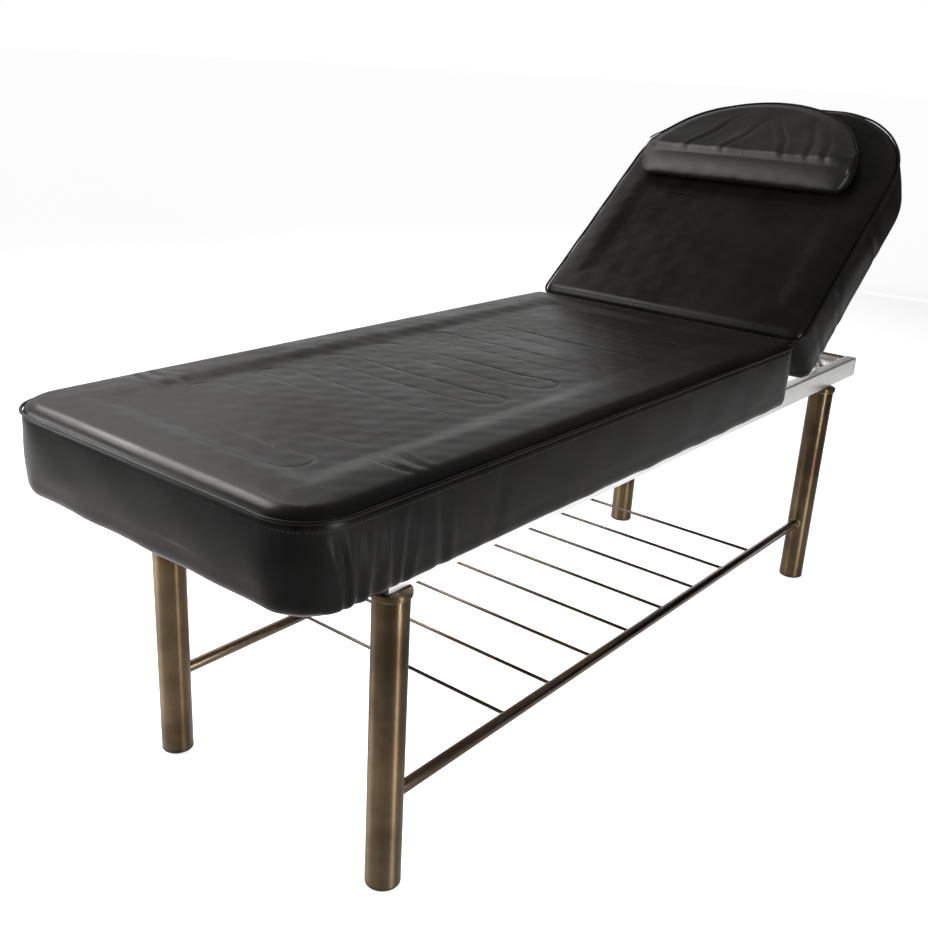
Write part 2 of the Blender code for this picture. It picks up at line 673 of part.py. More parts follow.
def make_pillow(back, materials):
    """The half-moon head pillow on its fastening strip, thick in front and thin towards the head."""
    centre_x = PILLOW_FRONT_X + PILLOW_DEPTH / 2
    lift = STRIP_THICKNESS + 2 * STRIP_GAP
    outline = pillow_outline(0)
    inner = pillow_outline(PILLOW_EDGE_ROUND)

    def floor(points, rise=0.0):
        return [Vector((x, y, back_crown_height(x, y) + lift + rise)) for x, y in points]

    def roof(points, rise):
        ring = []
        for x, y in points:
            share = (x - PILLOW_FRONT_X) / PILLOW_DEPTH
            height = PILLOW_FRONT_HEIGHT + (PILLOW_REAR_HEIGHT - PILLOW_FRONT_HEIGHT) * share
            ring.append(Vector((x, y, back_crown_height(x, y) + lift + height + rise)))
        return ring

    rings = [floor(scaled(inner, centre_x, share)) for share in reversed(PILLOW_RING_SHARES)]
    rings.append(floor(inner))
    rings.append(floor(outline, PILLOW_EDGE_ROUND))
    rings.append(roof(outline, -PILLOW_EDGE_ROUND))
    rings.append(roof(inner, 0))
    for share in PILLOW_RING_SHARES:
        rings.append(roof(scaled(inner, centre_x, share), PILLOW_CROWN * (1 - share**2)))
    bm = bmesh.new()
    skin(bm, rings)
    finish("head_pillow", bm, materials["leatherette"], back, smooth=True)

    near_x = PILLOW_FRONT_X + STRIP_SETBACK
    far_x = near_x + STRIP_WIDTH
    stations = []
    for i in range(STRIP_STATIONS):
        y = STRIP_LENGTH * (i / (STRIP_STATIONS - 1) - 0.5)
        corners = ((near_x, STRIP_GAP), (far_x, STRIP_GAP), (far_x, STRIP_GAP + STRIP_THICKNESS),
                   (near_x, STRIP_GAP + STRIP_THICKNESS))
        stations.append([Vector((x, y, back_crown_height(x, y) + rise)) for x, rise in corners])
    bm = bmesh.new()
    skin(bm, stations)
    finish("pillow_fastening_strip", bm, materials["black_plastic"], back)


def centre_on_origin(groups):
    """Moves the whole bed along its length, so that the origin is under the middle of its box."""
    bpy.context.view_layer.update()
    places = []
    for obj in bpy.data.objects:
        if obj.type == "MESH" and not obj.hide_render:
            places += [(obj.matrix_world @ vertex.co).x for vertex in obj.data.vertices]
    shift = -(min(places) + max(places)) / 2
    for empty, _ in groups:
        empty.location.x += shift
    return shift


def main():
    clear_scene()
    materials = {
        "steel": new_material("stainless_steel", (0.42, 0.37, 0.31), 0.28, 1.0),
        "bright_steel": new_material("bright_steel", (0.80, 0.80, 0.79), 0.20, 1.0),
        "zinc": new_material("zinc_plated_steel", (0.55, 0.55, 0.56), 0.42, 1.0),
        "black_plastic": new_material("black_plastic", (0.02, 0.02, 0.02), 0.55),
        "leatherette": new_material("black_leatherette", (0.02, 0.02, 0.021), 0.38),
        "foam": new_material("foam", (0.86, 0.83, 0.70), 0.95),
        "plywood": new_material("plywood", (0.62, 0.45, 0.28), 0.70),
    }
    base = new_group("base_group", Vector())
    back = new_group("back_hinge_axis", BACK_PIVOT, turn=-BACK_REST_ANGLE)
    prop = new_group("prop_axis", PROP_PIVOT, back[0], BACK_PIVOT, PROP_FOLD_AT_REST)
    make_legs(base, materials)
    make_frame(base, materials)
    make_shelf(base, materials)
    upholstery("seat", base, SEAT_FOOT_X, SEAT_REAR_X, SEAT_FOOT_RADIUS, HINGE_CORNER_RADIUS, materials)
    upholstery("back", back, BACK_FRONT_X, BACK_HEAD_X, HINGE_CORNER_RADIUS, BACK_HEAD_RADIUS, materials)
    make_back_hinge(base, back, materials)
    make_subframe(back, materials)
    make_prop(back, prop, materials)
    make_racks(base, materials)
    make_pillow(back, materials)
    shift = centre_on_origin((base, back))
    print("bed moved along its length by %.6f m to centre it on the origin" % shift)


main()
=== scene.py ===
# %% [markdown]
# # A folding facial bed
#
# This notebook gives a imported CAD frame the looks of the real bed: a black leatherette seat and
# backrest with piping and stitching, a half-moon head pillow, and polished steel tubes. The frame
# comes first, because every piece made later takes its place and size from it.

import math

import bpy
import numpy as np
from mathutils import Matrix, Vector, noise
from mathutils.bvhtree import BVHTree


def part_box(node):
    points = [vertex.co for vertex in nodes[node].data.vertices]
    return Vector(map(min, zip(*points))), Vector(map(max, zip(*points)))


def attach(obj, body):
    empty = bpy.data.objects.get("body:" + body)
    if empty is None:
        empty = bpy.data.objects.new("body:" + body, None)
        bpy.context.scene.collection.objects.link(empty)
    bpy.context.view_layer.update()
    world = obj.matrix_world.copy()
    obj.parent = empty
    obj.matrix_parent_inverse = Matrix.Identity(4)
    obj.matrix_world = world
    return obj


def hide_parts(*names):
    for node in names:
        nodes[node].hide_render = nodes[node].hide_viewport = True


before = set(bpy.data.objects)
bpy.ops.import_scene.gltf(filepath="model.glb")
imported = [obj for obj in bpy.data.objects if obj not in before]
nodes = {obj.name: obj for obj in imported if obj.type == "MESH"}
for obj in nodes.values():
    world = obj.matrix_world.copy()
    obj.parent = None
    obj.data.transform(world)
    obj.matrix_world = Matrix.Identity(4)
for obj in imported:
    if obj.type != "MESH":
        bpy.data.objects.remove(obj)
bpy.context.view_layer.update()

# %% [markdown]
# ## The camera
#
# A photograph fixes where the camera stood. Straight edges of the object whose real places are known
# give its position, direction and lens. Here they are written from a point on the floor between the
# legs, so that they follow the frame.

# %% Place the camera
CAMERA_FROM_LEGS = Vector((-1.6096, -1.0632, 1.0802))
CAMERA_DIRECTION = Vector((0.7362, 0.5829, -0.3438))
CAMERA_UP = Vector((0.2359, 0.2552, 0.9377))
LENS_MM = 42.11

foot_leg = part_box("leg_foot_left")
head_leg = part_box("leg_head_right")
LEGS_MIDDLE = Vector(((foot_leg[0].x + head_leg[1].x) / 2, 0, 0))
backward = -CAMERA_DIRECTION.normalized()
sideways = CAMERA_UP.cross(backward).normalized()
upward = backward.cross(sideways)
camera = bpy.data.objects.new("camera", bpy.data.cameras.new("camera"))
bpy.context.scene.collection.objects.link(camera)
camera.data.lens = LENS_MM
camera.matrix_world = Matrix.Translation(LEGS_MIDDLE + CAMERA_FROM_LEGS) @ Matrix((
    (sideways.x, upward.x, backward.x, 0),
    (sideways.y, upward.y, backward.y, 0),
    (sideways.z, upward.z, backward.z, 0),
    (0, 0, 0, 1),
))
bpy.context.scene.camera = camera
print("camera at", tuple(round(value, 3) for value in camera.matrix_world.translation))

# %% [markdown]
# ## Helpers for selecting and settling
#
# Operators act on whatever is selected, so each step begins from an empty selection. A finished
# piece has its place in its mesh, with its object at the origin, as the frame's own nodes have.

# %% Helpers for selecting and settling
def select_only(piece):
    bpy.ops.object.select_all(action="DESELECT")
    piece.select_set(True)
    bpy.context.view_layer.objects.active = piece


def pick(piece, kind, wanted):
    """Selects the faces or edges of a piece for which wanted says yes, and opens edit mode."""
    select_only(piece)
    bpy.ops.object.mode_set(mode="EDIT")
    bpy.ops.mesh.select_all(action="DESELECT")
    bpy.ops.object.mode_set(mode="OBJECT")
    mesh = piece.data
    bpy.context.tool_settings.mesh_select_mode = (False, kind == "EDGE", kind == "FACE")
    if kind == "FACE":
        for face in mesh.polygons:
            face.select = wanted(face)
    else:
        for edge in mesh.edges:
            ends = [mesh.vertices[i].co for i in edge.vertices]
            edge.select = wanted(*ends)
    bpy.ops.object.mode_set(mode="EDIT")


def close_edit():
    bpy.ops.object.mode_set(mode="OBJECT")


def settle(piece, name):
    piece.name = piece.data.name = name
    select_only(piece)
    bpy.ops.object.transform_apply(location=True, rotation=True, scale=True)
    return piece


def apply_modifiers(piece):
    select_only(piece)
    for modifier in list(piece.modifiers):
        bpy.ops.object.modifier_apply(modifier=modifier.name)


def smooth(piece, degrees=35):
    select_only(piece)
    bpy.ops.object.shade_smooth_by_angle(angle=math.radians(degrees))


def points_of(piece):
    values = np.zeros(len(piece.data.vertices) * 3)
    piece.data.vertices.foreach_get("co", values)
    return values.reshape(-1, 3)


def put_points(piece, points):
    piece.data.vertices.foreach_set("co", np.ascontiguousarray(points, float).ravel())
    piece.data.update()


def join(pieces, name):
    select_only(pieces[0])
    for piece in pieces[1:]:
        piece.select_set(True)
    bpy.ops.object.join()
    return settle(bpy.context.object, name)


def box_of(name):
    low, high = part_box(name)
    return low, high, (low + high) / 2, high - low


print("helpers ready")

# %% [markdown]
# ## Shared surface effects
#
# Coated fabric shows a pebbled grain, drawn steel fine streaks along the tube, and everything that
# is handled shows faint smears. Each effect is a node group with its own inputs, so that several
# finishes can use it with different values.

# %% Helpers for node groups
def link(tree, source, target):
    tree.links.new(source, target)


def new_group(name, inputs, outputs):
    tree = bpy.data.node_groups.new(name, "ShaderNodeTree")
    for label, kind, value in inputs:
        socket = tree.interface.new_socket(label, in_out="INPUT", socket_type=kind)
        if value is not None:
            socket.default_value = value
    for label in outputs:
        tree.interface.new_socket(label, in_out="OUTPUT", socket_type="NodeSocketFloat")
    return tree, tree.nodes.new("NodeGroupInput"), tree.nodes.new("NodeGroupOutput")


def maths(tree, operation, first, second=None):
    node = tree.nodes.new("ShaderNodeMath")
    node.operation = operation
    for socket, value in zip(node.inputs, (first, second)):
        if value is None:
            continue
        if isinstance(value, (int, float)):
            socket.default_value = value
        else:
            link(tree, value, socket)
    return node.outputs[0]


def noise_value(tree, vector, scale, detail=3.0, roughness=0.5):
    node = tree.nodes.new("ShaderNodeTexNoise")
    node.inputs["Detail"].default_value = detail
    node.inputs["Roughness"].default_value = roughness
    node.inputs["Scale"].default_value = scale
    link(tree, vector, node.inputs["Vector"])
    return node.outputs["Fac"]


def ramp(tree, value, low, high, out_low=0.0, out_high=1.0):
    node = tree.nodes.new("ShaderNodeMapRange")
    node.interpolation_type = "SMOOTHSTEP"
    for label, number in (("From Min", low), ("From Max", high), ("To Min", out_low), ("To Max", out_high)):
        node.inputs[label].default_value = number
    link(tree, value, node.inputs["Value"])
    return node.outputs["Result"]


print("node helpers ready")

# %% [markdown]
# ### The grain of coated fabric
#
# Leatherette is pressed with small pebbles. Voronoi cells give pebbles with soft valleys between them,
# and a broader noise makes them uneven. A slow noise stands for the smears that hands leave.

# %% Make the leather grain group
GRAIN_CELLS = 620.0
GRAIN_SWELL_SCALE = 90.0
GRAIN_SWELL_SHARE = 0.6
SMEAR_SCALE = 5.5


def make_leather_grain():
    tree, inside, outside = new_group(
        "leather_grain",
        [("Vector", "NodeSocketVector", None), ("Cells per metre", "NodeSocketFloat", GRAIN_CELLS)],
        ["Height", "Smear"],
    )
    cells = tree.nodes.new("ShaderNodeTexVoronoi")
    cells.feature = "SMOOTH_F1"
    link(tree, inside.outputs["Vector"], cells.inputs["Vector"])
    link(tree, inside.outputs["Cells per metre"], cells.inputs["Scale"])
    broad = noise_value(tree, inside.outputs["Vector"], GRAIN_SWELL_SCALE, 4.0)
    swell = maths(tree, "MULTIPLY", broad, GRAIN_SWELL_SHARE)
    link(tree, maths(tree, "ADD", cells.outputs["Distance"], swell), outside.inputs["Height"])
    smear = noise_value(tree, inside.outputs["Vector"], SMEAR_SCALE, 5.0, 0.6)
    link(tree, ramp(tree, smear, 0.3, 0.7), outside.inputs["Smear"])
    return tree


leather_grain = make_leather_grain()
print("group:", leather_grain.name)

# %% [markdown]
# ### Loops pressed into the cover
#
# Long narrow loops lie side by side across the cover, where it is pressed into the foam. A painted
# picture could show them, but a formula stays sharp at any distance: how far a point lies from the
# middle line of its nearest loop gives the line round that loop.

# %% Make the pressed loops group
LOOP_HALF_WIDTH = 0.028
LOOP_HALF_STRAIGHT = 0.150
LOOP_LINE_WIDTH = 0.0022
LOOP_EDGE_FALL = 0.4
STRENGTH_PER_METRE = 1000.0


def make_pressed_loops():
    """Long narrow loops side by side; the third coordinate says how strongly, in millimetres."""
    tree, inside, outside = new_group(
        "pressed_loops",
        [
            ("Vector", "NodeSocketVector", None),
            ("First", "NodeSocketFloat", 0.0),
            ("Pitch", "NodeSocketFloat", 0.127),
            ("Half width", "NodeSocketFloat", LOOP_HALF_WIDTH),
            ("Half straight", "NodeSocketFloat", LOOP_HALF_STRAIGHT),
            ("Line width", "NodeSocketFloat", LOOP_LINE_WIDTH),
        ],
        ["Line"],
    )
    get = inside.outputs
    parts = tree.nodes.new("ShaderNodeSeparateXYZ")
    link(tree, get["Vector"], parts.inputs[0])
    along = maths(tree, "SUBTRACT", parts.outputs["X"], get["First"])
    turns = maths(tree, "ROUND", maths(tree, "DIVIDE", along, get["Pitch"]))
    from_middle = maths(tree, "SUBTRACT", along, maths(tree, "MULTIPLY", turns, get["Pitch"]))
    past_end = maths(tree, "SUBTRACT", maths(tree, "ABSOLUTE", parts.outputs["Y"]), get["Half straight"])
    past_end = maths(tree, "MAXIMUM", past_end, 0.0)
    squares = [maths(tree, "MULTIPLY", reach, reach) for reach in (from_middle, past_end)]
    from_spine = maths(tree, "SQRT", maths(tree, "ADD", *squares))
    share = maths(tree, "DIVIDE", maths(tree, "SUBTRACT", from_spine, get["Half width"]), get["Line width"])
    line = maths(tree, "POWER", LOOP_EDGE_FALL, maths(tree, "MULTIPLY", share, share))
    strength = maths(tree, "MULTIPLY", parts.outputs["Z"], STRENGTH_PER_METRE)
    link(tree, maths(tree, "MULTIPLY", line, strength), outside.inputs["Line"])
    return tree


pressed_loops = make_pressed_loops()
print("group:", pressed_loops.name)

# %% [markdown]
# ### The streaks of drawn steel
#
# A tube that was drawn and polished has fine streaks along it. A noise whose coordinates are stretched
# in one direction gives them, and an unstretched noise gives the clouds of handling.

# %% Make the drawn streaks group
CLOUD_SCALE = 9.0


def make_drawn_streaks():
    tree, inside, outside = new_group(
        "drawn_streaks",
        [("Vector", "NodeSocketVector", None), ("Stretch", "NodeSocketVector", (1.0, 1.0, 1.0))],
        ["Streak", "Cloud"],
    )
    stretched = tree.nodes.new("ShaderNodeVectorMath")
    stretched.operation = "MULTIPLY"
    link(tree, inside.outputs["Vector"], stretched.inputs[0])
    link(tree, inside.outputs["Stretch"], stretched.inputs[1])
    streak = noise_value(tree, stretched.outputs[0], 1.0, 5.0, 0.65)
    link(tree, ramp(tree, streak, 0.25, 0.75), outside.inputs["Streak"])
    cloud = noise_value(tree, inside.outputs["Vector"], CLOUD_SCALE, 4.0)
    link(tree, ramp(tree, cloud, 0.3, 0.7), outside.inputs["Cloud"])
    return tree


drawn_streaks = make_drawn_streaks()
print("group:", drawn_streaks.name)

# %% [markdown]
# ## Finishes
#
# Black leatherette is almost black, and what one sees on it is the room: a soft sheen that brightens
# at a low angle. So its colour stays dark and its roughness and grain do the work. The tubes are
# polished stainless steel. The brown of the legs, collars and shelf rails and the near black of the rods
# are painted reflection of brown and dark surroundings, set in their colour. The frame rails are bright.

# %% Helpers for materials
def new_finish(name, colour, roughness, metallic=0.0, specular=0.5):
    finish = bpy.data.materials.new(name)
    finish.use_nodes = True
    tree = finish.node_tree
    shader = tree.nodes["Principled BSDF"]
    shader.inputs["Base Color"].default_value = (*colour, 1)
    shader.inputs["Roughness"].default_value = roughness
    shader.inputs["Metallic"].default_value = metallic
    shader.inputs["Specular IOR Level"].default_value = specular
    return finish, tree, shader


def place(tree, attribute=None):
    """The place on a piece, in metres: where it lies at rest, or the flat plan stored on its mesh."""
    if attribute:
        node = tree.nodes.new("ShaderNodeAttribute")
        node.attribute_name = attribute
        return node.outputs["Vector"]
    return tree.nodes.new("ShaderNodeTexCoord").outputs["Object"]


def use_group(tree, group, vector, **values):
    node = tree.nodes.new("ShaderNodeGroup")
    node.node_tree = group
    link(tree, vector, node.inputs["Vector"])
    for label, value in values.items():
        node.inputs[label].default_value = value
    return node.outputs


def blend_colours(tree, amount, first, second):
    node = tree.nodes.new("ShaderNodeMix")
    node.data_type = "RGBA"
    link(tree, amount, node.inputs["Factor"])
    node.inputs["A"].default_value = (*first, 1)
    node.inputs["B"].default_value = (*second, 1)
    return node.outputs["Result"]


def bump(tree, shader, height, depth, strength=1.0):
    node = tree.nodes.new("ShaderNodeBump")
    node.inputs["Strength"].default_value = strength
    node.inputs["Distance"].default_value = depth
    link(tree, height, node.inputs["Height"])
    link(tree, node.outputs["Normal"], shader.inputs["Normal"])


print("material helpers ready")

# %% [markdown]
# ### Black leatherette
#
# The cover is coated fabric. The colour turns a little warmer where it is worn, and the same mask makes
# it rougher. The pattern is read from a flat plan stored on the mesh, so that the grain runs over the
# folds as it does on cloth. The pillow's cover is duller and lighter than the seat's.

# %% Make the leatherette finishes
LEATHERETTE_DARK = (0.0020, 0.0019, 0.0018)
LEATHERETTE_WORN = (0.0054, 0.0049, 0.0044)
LEATHERETTE_SHEEN = 0.008
LEATHERETTE_SHEEN_TINT = (1.0, 0.84, 0.70, 1)
GRAIN_DEPTH = 0.00012
GRAIN_HEIGHT_SHARE = 0.8
LOOP_DEPTH_SHARE = 6.0


def make_leatherette(name, attribute=None, loops=None, roughness=(0.28, 0.36), specular=0.085):
    finish, tree, shader = new_finish(name, LEATHERETTE_DARK, 0.4, specular=specular)
    vector = place(tree, attribute)
    grain = use_group(tree, leather_grain, vector)
    colour = blend_colours(tree, grain["Smear"], LEATHERETTE_DARK, LEATHERETTE_WORN)
    link(tree, colour, shader.inputs["Base Color"])
    link(tree, ramp(tree, grain["Smear"], 0, 1, *roughness), shader.inputs["Roughness"])
    shader.inputs["Sheen Weight"].default_value = LEATHERETTE_SHEEN
    shader.inputs["Sheen Tint"].default_value = LEATHERETTE_SHEEN_TINT
    height = maths(tree, "MULTIPLY", grain["Height"], GRAIN_HEIGHT_SHARE)
    if loops:
        line = use_group(tree, pressed_loops, vector, First=loops["First"], Pitch=loops["Pitch"])["Line"]
        height = maths(tree, "SUBTRACT", height, maths(tree, "MULTIPLY", line, LOOP_DEPTH_SHARE))
    bump(tree, shader, height, GRAIN_DEPTH)
    return finish


SEAT_LOOPS = {"First": 0.115, "Pitch": 0.127, "ends": (0.175, 0.215)}
BACK_LOOPS = {"First": 0.060, "Pitch": 0.125, "ends": (0.120, 0.165)}
seat_leatherette = make_leatherette("seat_leatherette", "plan", SEAT_LOOPS)
back_leatherette = make_leatherette("back_leatherette", "plan", BACK_LOOPS)
pillow_leatherette = make_leatherette("pillow_leatherette", "plan", None, (0.42, 0.50), 0.26)
plain_leatherette = make_leatherette("plain_leatherette", None, None, (0.30, 0.40), 0.09)
print("leatherette finishes made")

# %% [markdown]
# ### Steel
#
# All the steel has one recipe: two tones that the clouds blend, and a roughness that the streaks vary.
# Only the colours, the gloss and the way of the streaks differ. The legs are brushed round their axis,
# which spreads a highlight along the tube, so they get anisotropy with a radial tangent.

# %% Make the metal finishes
UPRIGHT_STRETCH = (900.0, 900.0, 9.0)
LENGTHWISE_STRETCH = (9.0, 900.0, 900.0)
CROSSWISE_STRETCH = (900.0, 9.0, 900.0)
ROUND_BRUSHING = 0.92
BRUSHING_TURN = 0.25
COAT_ROUGHNESS = 0.12


def make_steel(name, dark, light, roughness, stretch, coat=0.0):
    finish, tree, shader = new_finish(name, light, roughness[0], metallic=1.0)
    marks = use_group(tree, drawn_streaks, place(tree), Stretch=stretch)
    link(tree, blend_colours(tree, marks["Cloud"], dark, light), shader.inputs["Base Color"])
    link(tree, ramp(tree, marks["Streak"], 0, 1, *roughness), shader.inputs["Roughness"])
    bump(tree, shader, marks["Streak"], 0.00002, 0.5)
    if coat:
        shader.inputs["Coat Weight"].default_value = coat
        shader.inputs["Coat Roughness"].default_value = COAT_ROUGHNESS
    return finish


STEELS = {
    # The leg and collar steel: its brown is a painted reflection of brown surroundings, not the colour of the
    # steel.
    "leg_steel": ((0.062, 0.041, 0.021), (0.150, 0.106, 0.060), (0.44, 0.54), UPRIGHT_STRETCH, 0.12),
    # The shelf steel's dark brown and the rod steel's near black are painted reflection of dark surroundings,
    # not the colour of the steel.
    "shelf_steel_painted_brown_reflection": ((0.040, 0.029, 0.020), (0.095, 0.072, 0.052), (0.18, 0.30), LENGTHWISE_STRETCH, 0.35),
    "rod_steel": ((0.018, 0.014, 0.011), (0.050, 0.038, 0.029), (0.22, 0.34), CROSSWISE_STRETCH, 0.15),
    "rail_steel": ((0.86, 0.86, 0.855), (0.96, 0.96, 0.955), (0.34, 0.46), LENGTHWISE_STRETCH),
    "cross_steel": ((0.70, 0.70, 0.69), (0.82, 0.82, 0.81), (0.16, 0.28), CROSSWISE_STRETCH),
    "zinc_plating": ((0.34, 0.34, 0.35), (0.56, 0.56, 0.55), (0.34, 0.50), (160.0, 160.0, 160.0)),
    "weld_metal": ((0.16, 0.12, 0.09), (0.50, 0.42, 0.33), (0.28, 0.50), (240.0, 240.0, 240.0)),
}
leg_steel, shelf_steel_painted_brown_reflection, rod_steel, rail_steel, cross_steel, zinc, weld_metal = [
    make_steel(name, *values) for name, values in STEELS.items()
]

shader = leg_steel.node_tree.nodes["Principled BSDF"]
around = leg_steel.node_tree.nodes.new("ShaderNodeTangent")
around.direction_type = "RADIAL"
around.axis = "Z"
link(leg_steel.node_tree, around.outputs["Tangent"], shader.inputs["Tangent"])
shader.inputs["Anisotropic"].default_value = ROUND_BRUSHING
shader.inputs["Anisotropic Rotation"].default_value = BRUSHING_TURN
print("metal finishes made")

# %% [markdown]
# ### Plastic, plywood, thread and tape
#
# Moulded plastic has a fine speckle and lighter scuffs. Plywood shows its layers on its edges, which a
# wave along Z gives, and streaks of grain on its faces. Thread and hook-and-loop tape are woven, so two
# crossed waves make both.

# %% Make the plastic, wood and cloth finishes
SPECKLE_SCALE = 1400.0
SCUFF_SCALE = 40.0
PLY_LAYERS = 62.0


def make_plastic(name, colour, roughness):
    finish, tree, shader = new_finish(name, colour, roughness)
    vector = place(tree)
    speckle = noise_value(tree, vector, SPECKLE_SCALE, 2.0)
    scuffs = ramp(tree, noise_value(tree, vector, SCUFF_SCALE, 5.0), 0.45, 0.7)
    lighter = tuple(channel * 1.8 + 0.006 for channel in colour)
    link(tree, blend_colours(tree, scuffs, colour, lighter), shader.inputs["Base Color"])
    link(tree, ramp(tree, scuffs, 0, 1, roughness, roughness + 0.15), shader.inputs["Roughness"])
    bump(tree, shader, speckle, 0.00006)
    return finish


def make_plywood():
    finish, tree, shader = new_finish("plywood", (0.52, 0.36, 0.21), 0.68)
    vector = place(tree)
    layers = tree.nodes.new("ShaderNodeTexWave")
    layers.bands_direction = "Z"
    layers.inputs["Scale"].default_value = PLY_LAYERS
    layers.inputs["Distortion"].default_value = 1.2
    link(tree, vector, layers.inputs["Vector"])
    marks = use_group(tree, drawn_streaks, vector, Stretch=(8.0, 260.0, 260.0))
    halves = [maths(tree, "MULTIPLY", value, 0.5) for value in (layers.outputs["Fac"], marks["Streak"])]
    tone = maths(tree, "ADD", *halves)
    link(tree, blend_colours(tree, tone, (0.33, 0.20, 0.10), (0.60, 0.44, 0.27)), shader.inputs["Base Color"])
    bump(tree, shader, tone, 0.0002)
    return finish


def make_woven(name, dark, light, threads):
    finish, tree, shader = new_finish(name, dark, 0.85, specular=0.2)
    vector = place(tree)
    heights = []
    for direction in ("X", "Y"):
        wave = tree.nodes.new("ShaderNodeTexWave")
        wave.bands_direction = direction
        wave.inputs["Scale"].default_value = threads
        link(tree, vector, wave.inputs["Vector"])
        heights.append(wave.outputs["Fac"])
    weave = maths(tree, "MAXIMUM", *heights)
    link(tree, blend_colours(tree, weave, dark, light), shader.inputs["Base Color"])
    bump(tree, shader, weave, 0.0002)
    return finish


black_plastic = make_plastic("black_plastic", (0.012, 0.012, 0.012), 0.48)
plywood = make_plywood()
thread_finish = make_woven("sewing_thread", (0.020, 0.019, 0.018), (0.055, 0.052, 0.050), 900.0)
tape_finish = make_woven("fastening_tape", (0.010, 0.010, 0.011), (0.035, 0.035, 0.037), 420.0)
print("plastic, wood and cloth finishes made")

# %% [markdown]
# ## Steel tubes
#
# A tube is a cylinder without ends that is given a wall by Solidify and a small rounding at its cut
# rims by Bevel. Rectangular tube starts as a box whose long edges are bevelled, because rolled tube
# never has sharp corners.

# %% Helpers for tubes
ROUND_SIDES = 72
RIM_ROUNDING = 0.0004
TUBE_WALL = 0.0015
TUBE_CORNER = 0.003
CORNER_SEGMENTS = 5


def put_on(piece, finish, body, slot, *replaced):
    piece.data.materials.clear()
    piece.data.materials.append(finish)
    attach(piece, body)
    if replaced:
        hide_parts(*replaced)


def round_rims(piece, width, segments=3, by_angle=True):
    rims = piece.modifiers.new("rims", "BEVEL")
    rims.width = width
    rims.segments = segments
    if by_angle:
        rims.limit_method = "ANGLE"
    apply_modifiers(piece)
    smooth(piece)


def wall_and_rims(piece, wall):
    shell = piece.modifiers.new("wall", "SOLIDIFY")
    shell.thickness = wall
    shell.offset = -1
    round_rims(piece, RIM_ROUNDING, 2)


def plain_round(name, start, end, radius, sides, ends):
    """A cylinder between two points, for a tube or a bar to start from."""
    start, end = Vector(start), Vector(end)
    way = end - start
    bpy.ops.object.select_all(action="DESELECT")
    bpy.ops.mesh.primitive_cylinder_add(
        vertices=sides, radius=radius, depth=way.length, end_fill_type=ends,
        location=(start + end) / 2, rotation=way.to_track_quat("Z", "Y").to_euler(),
    )
    return settle(bpy.context.object, name)


def round_tube(name, start, end, radius, wall, sides):
    piece = plain_round(name, start, end, radius, sides, "NOTHING")
    wall_and_rims(piece, wall)
    return piece


def round_bar(name, start, end, radius, sides, rounding):
    piece = plain_round(name, start, end, radius, sides, "NGON")
    round_rims(piece, rounding)
    return piece


def box_tube(name, low, high, axis, wall=TUBE_WALL, corner=TUBE_CORNER):
    """A rectangular tube between two corners, open at both ends of the axis."""
    low, high = Vector(low), Vector(high)
    bpy.ops.object.select_all(action="DESELECT")
    bpy.ops.mesh.primitive_cube_add(size=1, location=(low + high) / 2, scale=high - low)
    piece = settle(bpy.context.object, name)
    pick(piece, "EDGE", lambda a, b: abs((a - b)[axis]) > corner)
    bpy.ops.mesh.bevel(offset=corner, segments=CORNER_SEGMENTS, affect="EDGES")
    close_edit()
    pick(piece, "FACE", lambda face: abs(face.normal[axis]) > 0.9)
    bpy.ops.mesh.delete(type="ONLY_FACE")
    close_edit()
    wall_and_rims(piece, wall)
    return piece


print("tube helpers ready")

# %% [markdown]
# ## Legs
#
# Each leg is a stout tube with a black plastic foot pushed into it and a collar welded on top. The
# weld is a thin uneven ring, which catches light differently from the tube.

# %% Make the legs
LEG_WALL = 0.0015
LEG_SIDES = 96
WELD_RADIUS = 0.0011
CORNERS = [(end, side) for end in ("foot", "head") for side in ("left", "right")]


def weld_ring(name, centre, radius, thickness=WELD_RADIUS):
    """A thin ring of weld with the ripples that each drop left."""
    bpy.ops.object.select_all(action="DESELECT")
    bpy.ops.mesh.primitive_torus_add(
        major_segments=LEG_SIDES, minor_segments=10, location=centre,
        major_radius=radius, minor_radius=thickness,
    )
    piece = settle(bpy.context.object, name)
    points = points_of(piece)
    middle = np.array(centre)
    around = np.arctan2(points[:, 1] - middle[1], points[:, 0] - middle[0])
    drops = 1 + 0.22 * np.sin(around * 26) + 0.12 * np.sin(around * 7 + 1)
    ring = middle + np.stack([np.cos(around) * radius, np.sin(around) * radius, around * 0], axis=1)
    put_points(piece, ring + (points - ring) * drops[:, None])
    smooth(piece, 80)
    return piece


for end, side in CORNERS:
    node = "leg_%s_%s" % (end, side)
    low, high, middle, size = box_of(node)
    foot_end, top_end = (middle.x, middle.y, low.z), (middle.x, middle.y, high.z)
    radius = size.x / 2
    tube = round_tube(node.replace("leg_", "leg_tube_"), foot_end, top_end, radius, LEG_WALL, LEG_SIDES)
    put_on(tube, leg_steel, "base", "stainless_steel", node)
    weld = weld_ring(node.replace("leg_", "leg_weld_"), top_end, radius + WELD_RADIUS / 3)
    put_on(weld, weld_metal, "base", "stainless_steel")
print("legs made, radius %.4f m" % radius)

# %% [markdown]
# ### Collars and feet
#
# The plastic foot has a spigot up the tube, and the collar on top a plate, a spigot and a stud. All of
# these are turned shapes. A disc that is extruded and scaled step by step gives such a shape exactly,
# and a small bevel takes the sharpness off its rims.

# %% Make the collars and the feet
RUNNING_GAP = 0.0004
PLATE_GAP = 0.0003
STEP_RISE = 0.0001
SPIGOT_TAPER = 0.001
FOOT_CHAMFER = (0.0020, 0.0015)
STUD_RADIUS = 0.005


